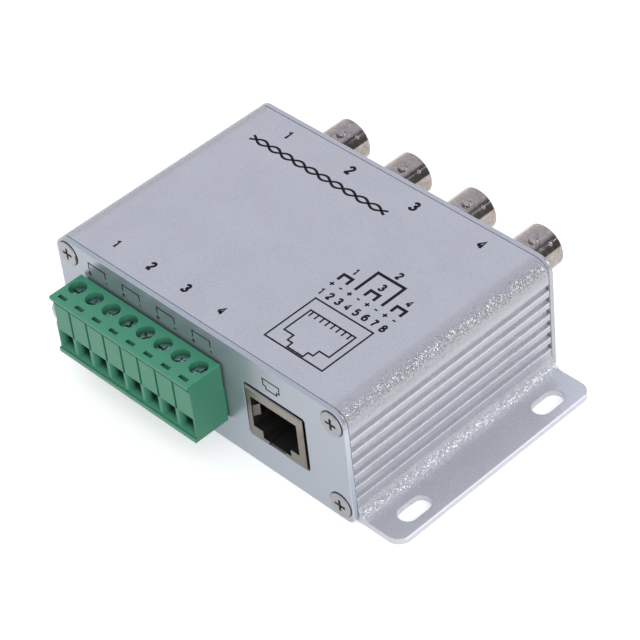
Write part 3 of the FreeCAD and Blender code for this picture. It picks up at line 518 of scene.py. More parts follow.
CASE_PAINTED_LIGHT_AND_SPARKLE = (
    # Painted shade on the lid's roundings, more sparkle only at the flanges' roots, painted light on the
    # flanges and painted highlights on their outer rims.
    *flanks(inner=36.2, outer=42.6, low=23.6, high=29.5, light=0.88, fade=1.2, sparkle=3.8),
    *flanks(inner=39.6, outer=44.0, low=-1.0, high=5.0, light=1.0, fade=1.0, sparkle=3.6),
    *flanks(inner=40.2, outer=53.4, low=-2.0, high=4.0, light=1.23, fade=0.8),
    *flanks(
        inner=51.05, outer=51.75, low=FLANGE_TOP - 0.35, high=FLANGE_TOP + 0.35, light=1.45, fade=0.15
    ),
    # Painted highlights on the lips of the grooves.
    *(
        zone
        for lip in (GROOVE_LIP + GROOVE_PITCH * groove for groove in range(GROOVES))
        for zone in flanks(
            inner=38.0, outer=42.0, low=lip - 0.42, high=lip + 0.10, light=1.35, fade=0.12, sparkle=3.2
        )
    ),
)

(FRONT_LEFT, FRONT_FACE, FRONT_FOOT), (FRONT_RIGHT, FRONT_BACK, FRONT_TOP) = corners("front_plate")
# Painted highlights on the front plate's left and right edges.
FRONT_PAINTED_EDGE_HIGHLIGHTS = tuple(
    Zone(
        low=(side - 0.3, FRONT_FACE - MARGIN, FRONT_FOOT - MARGIN),
        high=(side + 0.3, FRONT_BACK + MARGIN, FRONT_TOP - 3.0),
        light=1.35,
        fade=0.3,
    )
    for side in (FRONT_LEFT, FRONT_RIGHT)
)

(PLUG_LEFT, PLUG_FRONT, PLUG_FOOT), (PLUG_RIGHT, PLUG_BACK, PLUG_TOP) = corners("plug_housing")
PLUG_PAINTED_SHADE_AND_LIGHT = (
    # Painted shade inside the test slots, the wire funnels and the screw wells.
    Zone(
        low=(PLUG_LEFT, PLUG_FRONT + 1.0, PLUG_TOP - 4.5),
        high=(PLUG_RIGHT, PLUG_FRONT + 2.0, PLUG_TOP),
        light=0.22,
        fade=0.3,
    ),
    Zone(
        low=(PLUG_LEFT, PLUG_FRONT + 1.2, PLUG_FOOT + 1.2),
        high=(PLUG_RIGHT, PLUG_FRONT + 6.0, PLUG_FOOT + 6.4),
        light=0.18,
        fade=0.9,
    ),
    Zone(
        low=(PLUG_LEFT, PLUG_FRONT + 3.0, PLUG_TOP - 5.0),
        high=(PLUG_RIGHT, PLUG_FRONT + 8.0, PLUG_TOP - 0.5),
        light=0.45,
        fade=2.2,
    ),
    # Painted light on the top and painted shade on the right end.
    Zone(
        low=(PLUG_LEFT - MARGIN, PLUG_FRONT - MARGIN, PLUG_TOP - 0.4),
        high=(PLUG_RIGHT + MARGIN, PLUG_BACK + MARGIN, PLUG_TOP + MARGIN),
        light=1.12,
        fade=0.3,
    ),
    Zone(
        low=(PLUG_RIGHT - 0.4, PLUG_FRONT - MARGIN, PLUG_FOOT - MARGIN),
        high=(PLUG_RIGHT + MARGIN, PLUG_BACK + MARGIN, PLUG_TOP - 0.1),
        light=0.88,
        fade=0.3,
    ),
)

(SHIELD_LEFT, SHIELD_FACE, _), (SHIELD_RIGHT, _, SHIELD_TOP) = corners("jack_shield")
# Painted light on the upper band of the jack's shield.
SHIELD_PAINTED_LIGHT = (
    Zone(
        low=(SHIELD_LEFT - MARGIN, SHIELD_FACE - 2.0, SHIELD_TOP - 3.6),
        high=(SHIELD_RIGHT + MARGIN, SHIELD_FACE + 3.0, SHIELD_TOP + 3.0),
        light=1.4,
        fade=2.6,
    ),
)

CASE_METAL = Blasting(
    "blasted_case",
    (0.478, 0.486, 0.522),
    0.22,
    metallic=0.5,
    grain=5400.0,
    depth=6e-6,
    contrast=0.10,
    sparkle=0.14,
    zones=CASE_PAINTED_LIGHT_AND_SPARKLE,
)
FRONT_METAL = Blasting("satin_front", (0.41, 0.445, 0.495), 0.32, zones=FRONT_PAINTED_EDGE_HIGHLIGHTS)
REAR_METAL = Blasting("satin_rear", (0.468, 0.477, 0.520), 0.32)
SCREW_ZINC = Plating("zinc_screws", (0.37, 0.365, 0.375), 0.26, grain=1800.0)
PLUG_GREEN = Finish("green_plug", (0.050, 0.243, 0.145), 0.38, contrast=0.05, shine=0.4, zones=PLUG_PAINTED_SHADE_AND_LIGHT)
HEADER_GREEN = Finish("green_header", (0.05, 0.22, 0.13), 0.45, contrast=0.05)
# The clamp screws' own steel grey, tinted green-blue as a painted reflection of the green screw wells.
CLAMP_STEEL = Plating("clamp_screws", (0.50, 0.60, 0.60), 0.22, grain=1500.0, depth=24e-6, contrast=0.20)
CLAMP_NICKEL = Plating("clamp_cages", (0.55, 0.53, 0.48), 0.35, polish=0.15)
TINNED = Plating("tinned_brass", (0.60, 0.59, 0.56), 0.32, polish=0.15)
SHIELD_NICKEL = Plating("jack_shield", (0.218, 0.201, 0.178), 0.34, grain=900.0, zones=SHIELD_PAINTED_LIGHT)
JACK_BLACK = Finish("black_housing", (0.012, 0.011, 0.010), 0.55, depth=3e-6)
GOLD = Plating("gold_plating", (0.70, 0.50, 0.20), 0.22, depth=2e-6, contrast=0.06, polish=0.10)
SOCKET_NICKEL = Plating(
    "socket_nickel", (0.378, 0.330, 0.302), 0.12, grain=1100.0, depth=0.6e-6, contrast=0.32, polish=0.08
)
HARDWARE_NICKEL = Plating("nut_nickel", (0.42, 0.39, 0.37), 0.22, grain=1200.0, depth=2e-6)
WHITE_PLASTIC = Finish("white_insulator", (0.70, 0.69, 0.66), 0.4, depth=3e-6, contrast=0.04)
BOARD_MASK = Plating(
    "board_mask", (0.02, 0.13, 0.05), 0.35, metallic=0.0, grain=900.0, depth=6e-6, contrast=0.30, coat=0.3
)
COIL_BLACK = Finish("transformer_case", (0.03, 0.03, 0.03), 0.5, grain=2600.0, depth=5e-6)
ARRESTER = Finish("arrester_case", (0.05, 0.05, 0.055), 0.45, grain=2600.0)
CERAMIC = Finish("capacitor_ceramic", (0.36, 0.25, 0.15), 0.4, grain=2600.0, depth=3e-6, contrast=0.08)
INK = Finish("screen_ink", (0.006, 0.006, 0.009), 0.6, grain=4000.0, depth=2e-6, contrast=0.20, shine=0.15)


# Sub-assemblies


@dataclass
class SoftenedNode:
    """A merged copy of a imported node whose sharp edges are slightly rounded.

    Attributes:
        node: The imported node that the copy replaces.
        name: The copy's name.
        finish: The copy's finish.
        width: Width of the rounding, in millimetres.
        steps: Faces across the rounding.
        sharp: Angle between faces above which an edge is rounded, in degrees.
        flat: Angle between faces under which they become one, in degrees.
        merge: Corners nearer than this become one, in millimetres.
    """

    node: str
    name: str
    finish: Finish
    width: float = 0.12
    steps: int = 2
    sharp: float = 32.0
    flat: float = 0.6
    merge: float = 0.001

    def build(self) -> None:
        """Makes the copy, which then stands for the node."""
        source = frame["nodes"][self.node]
        piece = link(self.name, source.data.copy())
        activate(piece)
        bpy.ops.mesh.customdata_custom_splitnormals_clear()
        with editing(piece):
            bpy.ops.mesh.remove_doubles(threshold=self.merge * MM)
            bpy.ops.mesh.dissolve_limited(angle_limit=math.radians(self.flat))
        self.adjust(piece)
        if self.width:
            bevel = piece.modifiers.new("edges", "BEVEL")
            bevel.limit_method = "ANGLE"
            bevel.angle_limit = math.radians(self.sharp)
            bevel.width = self.width * MM
            bevel.segments = self.steps
            bevel.use_clamp_overlap = False
            bpy.ops.object.modifier_apply(modifier=bevel.name)
        self.smooth(piece)
        piece.data.materials.clear()
        piece.data.materials.append(self.finish.material())
        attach(piece, source["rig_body"])
        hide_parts(self.node)
        log.info("softened %s: %d faces", self.name, len(piece.data.polygons))

    def adjust(self, piece: bpy.types.Object) -> None:
        """Changes the copy before its edges are rounded. A plain node needs nothing."""

    def smooth(self, piece: bpy.types.Object) -> None:
        """Shades the edited copy smooth, with its flat faces kept flat.

        Args:
            piece: The copy.
        """
        activate(piece)
        bpy.ops.object.shade_smooth_by_angle(angle=math.radians(self.sharp))
        even = piece.modifiers.new("even", "WEIGHTED_NORMAL")
        even.keep_sharp = True
        bpy.ops.object.modifier_apply(modifier=even.name)


@dataclass
class SoftenedPlate(SoftenedNode):
    """An end plate, thinned a little so that a dark seam runs round the case.

    Attributes:
        seam: Gap left behind the plate, in millimetres.
        outwards: -1 where the plate's outer face looks along -Y, 1 where it looks along +Y.
    """

    seam: float = 0.10
    outwards: int = -1

    def adjust(self, piece: bpy.types.Object) -> None:
        """Thins the plate with its outer face kept in place.

        Args:
            piece: The copy.
        """
        low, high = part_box(self.node)
        face = high.y if self.outwards > 0 else low.y
        share = 1.0 - self.seam * MM / (high.y - low.y)
        with editing(piece):
            bpy.ops.transform.resize(value=(1.0, share, 1.0), center_override=(0.0, face, 0.0))


@dataclass
class SoftenedPlug(SoftenedNode):
    """The plug's moulding, with a rounder rim round its top.

    Attributes:
        rim: Rounding of the top's rim, in millimetres.
        near: How close to the box's faces the rim's corners lie.
    """

    rim: float = 0.22
    near: float = 0.02

    def adjust(self, piece: bpy.types.Object) -> None:
        """Rounds the rim of the top.

        Args:
            piece: The copy.
        """
        low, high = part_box(self.node)

        def on_rim(corner: Vector) -> bool:
            """Says whether a corner lies on the top's rim."""
            x, y, z = corner
            side = min(x - low.x, high.x - x, y - low.y, high.y - y)
            return max(side, high.z - z) < self.near * MM

        round_off(piece, self.rim, on_rim)


@dataclass
class SoftenedBarrel(SoftenedNode):
    """A bayonet socket's body, with domed lugs and one small dent.

    Attributes:
        insulator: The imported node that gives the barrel's axis.
        lug_reach: Everything farther from the axis than this is a lug's top.
        lug_back: From the barrel's tip to behind the lugs.
        lug_dome: Rounding of a lug's top.
        barrel_radius: Radius of the barrel.
        dent_radius: Radius of the ball that shapes the dent.
        dent_depth: Depth of the dent.
        dent_setback: From the barrel's tip to the dent.
        dent_angle: The dent's place round the barrel, from +X towards +Z, in degrees.
    """

    insulator: str = ""
    lug_reach: float = 5.3
    lug_back: float = 6.5
    lug_dome: float = 0.40
    barrel_radius: float = 4.8
    dent_radius: float = 0.75
    dent_depth: float = 0.22
    dent_setback: float = 2.45
    dent_angle: float = 44.0

    def adjust(self, piece: bpy.types.Object) -> None:
        """Rounds the tops of the two lugs and presses the dent.

        Args:
            piece: The copy.
        """
        inner_low, inner_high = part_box(self.insulator)
        tip = (inner_low + inner_high) / 2
        tip.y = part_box(self.node)[1].y

        def on_lug(corner: Vector) -> bool:
            """Says whether a corner belongs to a lug's top."""
            away = corner - tip
            return math.hypot(away.x, away.z) > self.lug_reach * MM and away.y > -self.lug_back * MM

        round_off(piece, self.lug_dome, on_lug)
        self.dent(piece, tip)

    def dent(self, barrel: bpy.types.Object, tip: Vector) -> None:
        """Presses the shallow round dent.

        Args:
            barrel: The barrel.
            tip: The middle of its open end.
        """
        reach = (self.barrel_radius + self.dent_radius - self.dent_depth) * MM
        angle = math.radians(self.dent_angle)
        away = Vector((reach * math.cos(angle), -self.dent_setback * MM, reach * math.sin(angle)))
        deselect()
        bpy.ops.mesh.primitive_uv_sphere_add(
            segments=BALL_SIDES,
            ring_count=BALL_SIDES // 2,
            radius=self.dent_radius * MM,
            location=tip + away,
        )
        ball = bpy.context.object
        activate(barrel)
        cut = barrel.modifiers.new("dent", "BOOLEAN")
        cut.operation = "DIFFERENCE"
        cut.solver = "EXACT"
        cut.object = ball
        bpy.ops.object.modifier_apply(modifier=cut.name)
        bpy.data.objects.remove(ball)


def finish_nodes(finishes: dict[str, Finish]) -> None:
    """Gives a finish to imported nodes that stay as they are.

    Args:
        finishes: The finish of each node.
    """
    for node, finish in finishes.items():
        for slot in frame["nodes"][node].material_slots:
            slot.material = finish.material()
        log.info("finished %s", node)


@dataclass
class Case:
    """The extruded case with its two end plates and eight screws."""

    case_edge: float = 0.22
    plate_edge: float = 0.18
    screw_edge: float = 0.08
    seam: float = 0.06

    def build(self) -> None:
        """Softens the case, the plates and their screws."""
        SoftenedNode("enclosure", "case_extrusion", CASE_METAL, self.case_edge).build()
        for end, outwards, metal in (("front", -1, FRONT_METAL), ("rear", 1, REAR_METAL)):
            node, name, edge = f"{end}_plate", f"{end}_end_plate", self.plate_edge
            SoftenedPlate(node, name, metal, edge, seam=self.seam, outwards=outwards).build()
            SoftenedNode(f"{end}_plate_screws", f"{end}_screws", SCREW_ZINC, self.screw_edge).build()


@dataclass
class Terminal:
    """The pull-off plug with its clamps, and the header behind it."""

    edge: float = 0.075
    merge: float = 0.03
    screw_edge: float = 0.04

    def build(self) -> None:
        """Softens the plug's moulding and screws and finishes what it holds."""
        SoftenedPlug("plug_housing", "terminal_plug", PLUG_GREEN, self.edge, merge=self.merge).build()
        finishes = {"header_housing": HEADER_GREEN, "header_pins": TINNED, "plug_contacts": TINNED}
        for way in range(1, WAYS + 1):
            SoftenedNode(f"clamp_screw_{way}", f"wire_screw_{way}", CLAMP_STEEL, self.screw_edge).build()
            finishes[f"clamp_cage_{way}"] = CLAMP_NICKEL
        finish_nodes(finishes)


@dataclass
class Jack:
    """The shielded network jack."""

    edge: float = 0.05

    def build(self) -> None:
        """Softens the shield and finishes the moulding and wires."""
        SoftenedNode("jack_shield", "network_jack_shield", SHIELD_NICKEL, self.edge).build()
        finish_nodes({"jack_housing": JACK_BLACK, "jack_contacts": GOLD})


@dataclass
class Sockets:
    """The four bayonet sockets with their nuts and washers."""

    def build(self) -> None:
        """Shapes each barrel and finishes the rest."""
        finishes = {"bnc_nuts": HARDWARE_NICKEL, "bnc_washers": HARDWARE_NICKEL}
        for number in range(1, CHANNELS + 1):
            node, name, core = f"bnc_body_{number}", f"bayonet_socket_{number}", f"bnc_insulator_{number}"
            SoftenedBarrel(node, name, SOCKET_NICKEL, width=0.0, insulator=core).build()
            finishes[core] = WHITE_PLASTIC
            finishes[f"bnc_contact_{number}"] = GOLD
        finish_nodes(finishes)


@dataclass
class Board:
    """The circuit board and its components."""

    def build(self) -> None:
        """Finishes the board and each component."""
        finishes = {
            "circuit_board": BOARD_MASK,
            "transformer_leads": TINNED,
            "surge_arresters": ARRESTER,
            "filter_capacitors": CERAMIC,
        }
        for number in range(1, CHANNELS + 1):
            finishes[f"transformer_{number}"] = COIL_BLACK
        finish_nodes(finishes)


@dataclass(frozen=True)
class Stroke:
    """One stroke of a numeral, measured from the numeral's lower left corner.

    Attributes:
        points: Points along the stroke.
        curved: Whether it bends smoothly through them.
    """

    points: tuple[Point, ...]
    curved: bool = False


def straight(*points: Point) -> Stroke:
    """Gives a stroke of straight pieces."""
    return Stroke(points)


def bend(*points: Point) -> Stroke:
    """Gives a curved stroke."""
    return Stroke(points, curved=True)


NUMERAL_WIDTH = 56
NUMERAL_HEIGHT = 100
NUMERALS: dict[int, tuple[Stroke, ...]] = {
    1: (straight((10, 78), (34, 100), (34, 0)),),
    2: (
        bend((2, 74), (10, 93), (28, 100), (46, 92), (53, 73), (40, 47), (0, 0)),
        straight((0, 0), (56, 0)),
    ),
    3: (
        bend((3, 82), (14, 96), (29, 100), (45, 93), (50, 76), (42, 59), (22, 53)),
        bend((22, 53), (45, 46), (55, 27), (46, 7), (28, 0), (10, 5), (0, 20)),
    ),
    4: (straight((42, 0), (42, 100), (0, 28)), straight((0, 28), (56, 28))),
    5: (
        straight((50, 100), (11, 100), (5, 52)),
        bend((5, 52), (26, 63), (48, 54), (56, 32), (47, 9), (26, 0), (0, 16)),
    ),
    6: (
        bend((50, 84), (36, 99), (18, 94), (5, 72), (1, 40), (8, 12), (28, 0)),
        bend((28, 0), (48, 10), (56, 32), (48, 53), (30, 61), (12, 53), (2, 34)),
    ),
    7: (straight((0, 100), (55, 100)), bend((55, 100), (33, 60), (20, 0))),
    8: (
        bend((28, 54), (11, 62), (5, 78), (13, 94), (28, 100), (43, 94)),
        bend((43, 94), (51, 78), (45, 62), (28, 54), (8, 44), (0, 26)),
        bend((0, 26), (9, 6), (28, 0), (47, 6), (56, 26), (48, 44), (28, 54)),
    ),
}


class Side(Enum):
    """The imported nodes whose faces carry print."""

    LID = "enclosure"
    FRONT = "front_plate"


@dataclass
class Print:
    """Marks of ink on one face, drawn flat in millimetres and then laid on it.

    Attributes:
        name: The printed piece's name.
        side: The face that carries it.
        thickness: Thickness of the ink layer.
        marks: The strokes drawn so far.
    """

    name: str
    side: Side
    thickness: float = 0.03
    marks: list[bpy.types.Object] = field(default_factory=list)

    def line(self, start: Point, end: Point, width: float, tail: float = 0.5) -> None:
        """Draws one straight stroke with square ends.

        Args:
            start: One end of its middle line.
            end: The other end.
            width: The stroke's width.
            tail: How many widths the stroke runs on beyond its end.
        """
        ahead = (Vector(end) - Vector(start)).normalized() * width
        first = Vector(start) - ahead / 2
        last = Vector(end) + ahead * tail
        step = last - first
        middle = (last + first) / 2
        deselect()
        bpy.ops.mesh.primitive_cube_add(
            size=1.0,
            location=(middle.x, middle.y, 0.0),
            rotation=(0.0, 0.0, math.atan2(step.y, step.x)),
            scale=(step.length, width, self.thickness),
        )
        settle(bpy.context.object)
        self.marks.append(bpy.context.object)

    def path(self, points: Sequence[Point], width: float, closed: bool = False) -> None:
        """Draws strokes through points, which meet at right angles without covering each other.

        Args:
            points: The corners.
            width: The strokes' width.
            closed: Whether the last corner joins the first.
        """
        ends = list(points[1:]) + ([points[0]] if closed else [])
        for start, end in zip(points, ends):
            inner = closed or end != ends[-1]
            self.line(start, end, width, -0.5 if inner else 0.5)

    def bracket(self, left: float, right: float, low: float, high: float, width: float) -> None:
        """Draws a bracket that is open below."""
        self.path([(left, low), (left, high), (right, high), (right, low)], width)

    def sign(self, place: Point, size: float, width: float, plus: bool) -> None:
        """Draws a plus or a minus.

        Args:
            place: The sign's centre.
            size: Length of its strokes.
            width: Their width.
            plus: True for a plus.
        """
        half = (size - width) / 2
        x, y = place
        if plus:
            self.line((x - half, y), (x + half, y), width)
            self.line((x, y - half), (x, y + half), width)
        else:
            self.line((x - half / 2, y), (x + half / 2, y), width)

    def numeral(self, number: int, place: Point, height: float, width: float) -> None:
        """Draws a numeral.

        Args:
            number: The number, from 1 to 8.
            place: Its centre.
            height: Its height.
            width: Width of its strokes.
        """
        unit = (height - width) / NUMERAL_HEIGHT
        left = place[0] - NUMERAL_WIDTH / 2 * unit
        foot = place[1] - NUMERAL_HEIGHT / 2 * unit
        for stroke in NUMERALS[number]:
            self.strand([(left + x * unit, foot + y * unit) for x, y in stroke.points], width, stroke.curved)

    def strand(self, points: Sequence[Point], width: float, curved: bool) -> None:
        """Draws a line with round ends.

        Args:
            points: Points along it.
            width: Its width.
            curved: Whether it bends smoothly through its points.
        """
        curve = bpy.data.curves.new("strand", "CURVE")
        curve.dimensions = "3D"
        spline = curve.splines.new("BEZIER")
        spline.bezier_points.add(len(points) - 1)
        for knot, (x, y) in zip(spline.bezier_points, points):
            knot.co = (x, y, 0.0)
            knot.handle_left_type = knot.handle_right_type = "AUTO" if curved else "VECTOR"
        spline.resolution_u = CURVE_STEPS if curved else 1
        curve.bevel_depth = width / 2
        curve.bevel_resolution = 1
        curve.use_fill_caps = True
        activate(link("strand", curve))
        bpy.ops.object.convert(target="MESH")
        bpy.context.object.scale = (1.0, 1.0, self.thickness / width)
        settle(bpy.context.object)
        self.marks.append(bpy.context.object)

    def lay(self) -> None:
        """Joins the marks and lays them on their face."""
        piece = self.marks[0]
        activate(piece)
        for mark in self.marks:
            mark.select_set(True)
        bpy.ops.object.join()
        piece.name = self.name
        low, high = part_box(self.side.value)
        if self.side is Side.LID:
            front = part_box("front_plate")[0].y
            place = Matrix.Translation((0.0, front, high.z))
        else:
            place = Matrix.Translation((0.0, low.y, 0.0)) @ Matrix.Rotation(math.pi / 2, 4, "X")
        piece.matrix_world = place @ Matrix.Scale(MM, 4)
        settle(piece)
        with editing(piece):
            bpy.ops.mesh.normals_make_consistent(inside=False)
        piece.data.materials.clear()
        piece.data.materials.append(INK.material())
        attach(piece, frame["nodes"]["enclosure"]["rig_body"])
        log.info("printed %s: %d faces", self.name, len(piece.data.polygons))


@dataclass
class LidPrint:
    """The lid's marks: channel numbers, a twisted pair and the jack's wiring diagram.

    Places are in millimetres, x from the case's middle and y from the front face.
    """

    digit: float = 2.15
    digit_width: float = 0.50
    label_digit: float = 2.6
    label_width: float = 0.64
    front_labels: tuple[float, ...] = (-28.5, -18.1, -8.0, 2.1)
    front_label_y: float = 5.9
    socket_pitch: float = 18.0
    socket_label_y: float = 51.6
    socket_digit: float = 2.9
    socket_width: float = 0.68
    twist_left: float = -32.6
    twist_right: float = 6.1
    twist_first: float = -31.2
    twist_loop: float = 3.6
    twist_y: float = 46.5
    twist_reach: float = 0.75
    twist_width: float = 0.58
    twist_steps: int = 66
    frame_box: tuple[float, float, float, float] = (13.35, 28.80, 6.47, 19.95)
    jack_middle: float = 21.125
    jack_halves: tuple[float, float, float] = (6.025, 3.43, 2.1)
    jack_levels: tuple[float, float, float, float] = (6.9, 8.27, 9.9, 16.95)
    tick_first: float = 15.95
    tick_pitch: float = 1.45
    tick_length: float = 1.25
    fine: float = 0.38
    bold: float = 0.70
    pin_first: float = 12.76
    pin_pitch: float = 2.37
    pin_y: float = 22.05
    sign_y: float = 24.9
    sign_size: float = 1.1
    sign_width: float = 0.36
    pair_low: float = 26.75
    pair_high: float = 28.25
    pair_outer: tuple[float, ...] = (12.7, 19.95, 26.98)
    pair_width: float = 2.35
    middle_pair: tuple[float, float, float] = (17.45, 24.6, 32.8)
    diagram_labels: tuple[Point, ...] = ((14.0, 30.2), (21.3, 34.7), (21.15, 30.2), (28.3, 30.2))

    def build(self) -> None:
        """Draws all the lid's marks."""
        ink = Print("lid_print", Side.LID)
        for number, x in enumerate(self.front_labels, start=1):
            ink.numeral(number, (x, self.front_label_y), self.label_digit, self.label_width)
        for number in range(1, CHANNELS + 1):
            x = self.socket_pitch * (number - (CHANNELS + 1) / 2)
            ink.numeral(number, (x, self.socket_label_y), self.socket_digit, self.socket_width)
        for way in (1.0, -1.0):
            ink.strand(list(self.twist(way)), self.twist_width, curved=True)
        self.draw_jack(ink)
        self.draw_pairs(ink)
        ink.lay()

    def twist(self, way: float) -> Iterator[Point]:
        """Gives the points of one strand of the twisted pair.

        Args:
            way: 1 or -1, the side that the strand starts on.

        Yields:
            Each point.
        """
        for step in range(self.twist_steps + 1):
            x = self.twist_left + (self.twist_right - self.twist_left) * step / self.twist_steps
            turn = math.pi * (x - self.twist_first) / self.twist_loop
            yield x, self.twist_y + way * self.twist_reach * math.sin(turn)

    def draw_jack(self, ink: Print) -> None:
        """Draws the jack's outline in its frame, with eight contact ticks.

        Args:
            ink: The lid's print.
        """
        left, right, low, high = self.frame_box
        ink.path([(left, low), (right, low), (right, high), (left, high)], self.fine, closed=True)
        foot, latch_top, key_top, top = self.jack_levels
        outer, key, latch = self.jack_halves
        half = [(outer, top), (outer, key_top), (key, key_top), (key, latch_top), (latch, latch_top)]
        half.append((latch, foot))
        ink.path(mirrored(self.jack_middle, half), self.fine, closed=True)
        for tick in range(WAYS):
            x = self.tick_first + self.tick_pitch * tick
            ink.line((x, top), (x, top - self.tick_length), self.fine)

    def draw_pairs(self, ink: Print) -> None:
        """Draws the pin numbers, their signs and the brackets of the four pairs.

        Args:
            ink: The lid's print.
        """
        for pin in range(WAYS):
            x = self.pin_first + self.pin_pitch * pin
            ink.numeral(pin + 1, (x, self.pin_y), self.digit, self.digit_width)
            ink.sign((x, self.sign_y), self.sign_size, self.sign_width, plus=pin % 2 == 0)
        for left in self.pair_outer:
            ink.bracket(left, left + self.pair_width, self.pair_low, self.pair_high, self.bold)
        left, right, high = self.middle_pair
        ink.bracket(left, right, self.pair_low, high, self.bold)
        for number, place in enumerate(self.diagram_labels, start=1):
            ink.numeral(number, place, self.digit, self.digit_width)


@dataclass
class FrontPrint:
    """The front plate's marks: a bracket and two signs over each pair of clamps, and a socket.

    Places are in millimetres, x from the case's middle and z from its underside.
    """

    pair_left: tuple[float, ...] = (-30.9, -20.75, -10.6, -0.4)
    pair_width: float = 4.95
    bracket_low: float = 24.15
    bracket_high: float = 25.65
    width: float = 0.30
    sign_z: float = 22.95
    sign_size: float = 1.0
    socket_middle: float = 21.2
    socket_half: float = 2.2
    socket_low: float = 22.5
    socket_high: float = 24.9
    socket_step: float = 0.75

    def build(self) -> None:
        """Draws all the plate's marks."""
        ink = Print("front_print", Side.FRONT)
        for left in self.pair_left:
            right = left + self.pair_width
            ink.bracket(left, right, self.bracket_low, self.bracket_high, self.width)
            ink.sign((left, self.sign_z), self.sign_size, self.width, plus=True)
            ink.sign((right, self.sign_z), self.sign_size, self.width, plus=False)
        outer, inner = self.socket_half, self.socket_half - self.socket_step
        shelf = self.socket_low + self.socket_step
        half = [(outer, self.socket_high), (outer, shelf), (inner, shelf), (inner, self.socket_low)]
        ink.path(mirrored(self.socket_middle, half), self.width, closed=True)
        ink.lay()


# Studio


@dataclass(frozen=True)
class Lamp:
    """A square lamp that faces the object.

    Attributes:
        name: The lamp's name.
        towards: The direction from the object to the lamp.
        far: Its distance, in metres.
        size: Its side, in metres.
        power: Its power, in watts.
        lights: Whether it lights matt surfaces, or only shows in shiny ones.
    """

    name: str
    towards: Triple
    far: float
    size: float
    power: float
    lights: bool = True

    def build(self) -> None:
        """Hangs the lamp."""
        data = bpy.data.lights.new(self.name, "AREA")
        data.shape = "SQUARE"
        data.size = self.size
        data.energy = self.power
        lamp = link(self.name, data)
        direction = Vector(self.towards).normalized()
        lamp.location = direction * self.far
        lamp.rotation_euler = direction.to_track_quat("Z", "Y").to_euler()
        lamp.visible_diffuse = self.lights


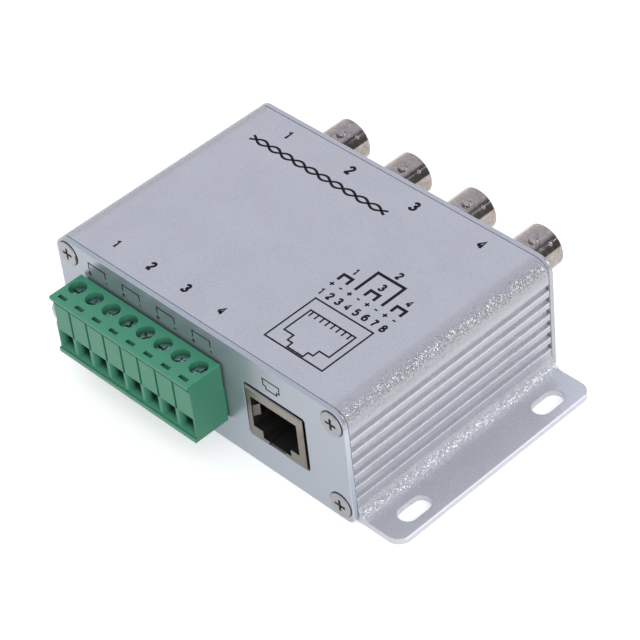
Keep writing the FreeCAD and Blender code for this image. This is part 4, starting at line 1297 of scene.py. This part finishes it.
@dataclass
class Studio:
    """Floor, world, lamps and the camera at the photograph's viewing angle.

    Attributes:
        floor_size: Side of the floor, in metres.
        floor_colour: Its colour.
        floor_roughness: Its roughness.
        floor_glow: Its own light towards the camera.
        floor_gleam: Its own light towards shiny surfaces.
        sky_matt: How much weaker the sky lights matt surfaces.
        corner: Direction of the sky's dark corner.
        corner_side: Where it begins and is full, as a share of that direction.
        corner_top: Height of its upper end, from full to none.
        corner_dark: How dark it is.
        overhead: Height from which shiny surfaces see the sky tinted, and where the tint is full.
        overhead_tint: Change of the sky's red, green and blue there.
        lamps: The lamps.
        azimuth: The camera's place round the object, in degrees.
        elevation: Its height above the horizon, in degrees.
        roll: Its turn about the line of sight, in degrees.
        distance: From the camera to the aimed point, in metres.
        aim: The aimed point, in metres from the front face's foot.
        slide: How far the view moves right and up from the aim, in metres.
        lens: Focal length on the sensor, in millimetres.
        sensor: Width of the sensor, in millimetres.
        clip: The nearest and the farthest distance that the camera sees, in metres.
    """

    floor_size: float = 6.0
    floor_colour: Triple = (0.86, 0.86, 0.87)
    floor_roughness: float = 0.9
    floor_glow: float = 0.42
    floor_gleam: float = 0.38
    sky_matt: float = 0.12
    corner: Triple = (0.87, 0.49, 0.0)
    corner_side: Point = (0.20, 0.45)
    corner_top: Point = (0.80, 0.70)
    corner_dark: float = 0.85
    overhead: Point = (0.1, 0.6)
    overhead_tint: Triple = (-0.17, -0.14, 0.02)
    lamps: tuple[Lamp, ...] = (
        Lamp("glint", (0.518, 0.731, 0.444), far=1.1, size=0.34, power=1.9, lights=False),
        Lamp("soft", (0.85, -0.30, 0.42), far=1.2, size=0.9, power=4.5),
    )
    azimuth: float = 50.036
    elevation: float = 41.730
    roll: float = -6.756
    distance: float = 0.5156
    aim: Triple = (0.0, 0.045, 0.013)
    slide: Point = (0.00899, 0.01172)
    lens: float = 143.75
    sensor: float = 36.0
    clip: Point = (0.01, 20.0)

    def build(self) -> None:
        """Builds the whole studio."""
        self.build_floor()
        self.build_world()
        for lamp in self.lamps:
            lamp.build()
        self.build_camera()
        bpy.context.scene.view_settings.view_transform = "Standard"

    def build_floor(self) -> None:
        """Lays a pale floor that shows only the object's shadow."""
        deselect()
        bpy.ops.mesh.primitive_plane_add(size=self.floor_size, location=(0.0, 0.0, 0.0))
        floor = bpy.context.object
        floor.name = "studio_floor"
        material = bpy.data.materials.new("pale_floor")
        material.use_nodes = True
        sheet = NodeSheet(material.node_tree)
        path = sheet.add("ShaderNodeLightPath").outputs
        shiny = sheet.maths("MULTIPLY", path["Is Glossy Ray"], self.floor_gleam)
        surface = sheet.add(
            "ShaderNodeBsdfPrincipled",
            Roughness=self.floor_roughness,
            Base_Color=(*self.floor_colour, 1.0),
            Emission_Color=(1.0, 1.0, 1.0, 1.0),
            Emission_Strength=sheet.scaled(path["Is Camera Ray"], self.floor_glow, shiny),
        )
        sheet.add("ShaderNodeOutputMaterial", Surface=surface.outputs["BSDF"])
        floor.data.materials.append(material)

    def build_world(self) -> None:
        """Gives an even pale sky, with a dark corner that only shiny surfaces show."""
        world = bpy.data.worlds.new("studio_sky")
        world.use_nodes = True
        sheet = NodeSheet(world.node_tree)
        place = sheet.add("ShaderNodeTexCoord").outputs["Generated"]
        path = sheet.add("ShaderNodeLightPath").outputs
        height = sheet.add("ShaderNodeSeparateXYZ", place).outputs["Z"]
        corner = sheet.add("ShaderNodeVectorMath", place, self.corner, operation="DOT_PRODUCT")
        side = sheet.ramp(corner.outputs["Value"], *self.corner_side)
        dark = sheet.maths("MULTIPLY", side, sheet.ramp(height, *self.corner_top))
        # Only the first bounce from a shiny surface sees the dark corner.
        first = sheet.ramp(path["Glossy Depth"], 2.0, 1.0)
        seen = sheet.maths("MULTIPLY", dark, sheet.maths("MULTIPLY", first, path["Is Glossy Ray"]))
        soft = sheet.scaled(path["Is Diffuse Ray"], -self.sky_matt)
        strength = sheet.scaled(seen, -self.corner_dark, soft)
        clear = sheet.maths("MAXIMUM", path["Is Camera Ray"], path["Is Transmission Ray"])
        above = sheet.maths("MULTIPLY", sheet.ramp(height, *self.overhead), path["Is Glossy Ray"])
        tint = sheet.add(
            "ShaderNodeCombineColor", *(sheet.scaled(above, change) for change in self.overhead_tint)
        )
        sky = sheet.add(
            "ShaderNodeBackground",
            Color=tint.outputs["Color"],
            Strength=sheet.maths("MAXIMUM", strength, clear),
        )
        sheet.add("ShaderNodeOutputWorld", Surface=sky.outputs["Background"])
        bpy.context.scene.world = world

    def build_camera(self) -> None:
        """Sets the camera where the photograph was taken from."""
        azimuth = math.radians(self.azimuth)
        elevation = math.radians(self.elevation)
        across = Vector((math.sin(azimuth), -math.cos(azimuth), 0.0)) * math.cos(elevation)
        back = across + Vector((0.0, 0.0, math.sin(elevation)))
        level = Vector((0.0, 0.0, 1.0)).cross(back).normalized()
        upright = back.cross(level)
        roll = math.radians(self.roll)
        right = level * math.cos(roll) + upright * math.sin(roll)
        up = upright * math.cos(roll) - level * math.sin(roll)
        aim = Vector(self.aim) + Vector((0.0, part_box("front_plate")[0].y, 0.0))
        place = aim + back * self.distance - right * self.slide[0] - up * self.slide[1]
        data = bpy.data.cameras.new("photo_camera")
        data.sensor_width = self.sensor
        data.lens = self.lens
        data.clip_start, data.clip_end = self.clip
        camera = link("photo_camera", data)
        turn = Matrix((right, up, back)).transposed().to_4x4()
        camera.matrix_world = Matrix.Translation(place) @ turn
        bpy.context.scene.camera = camera


def main() -> None:
    """Builds each part of the scene in order."""
    for part in (Studio(), Case(), Terminal(), Jack(), Sockets(), Board(), LidPrint(), FrontPrint()):
        part.build()
        log.info("built %s", type(part).__name__)


if __name__ == "__main__":
    main()
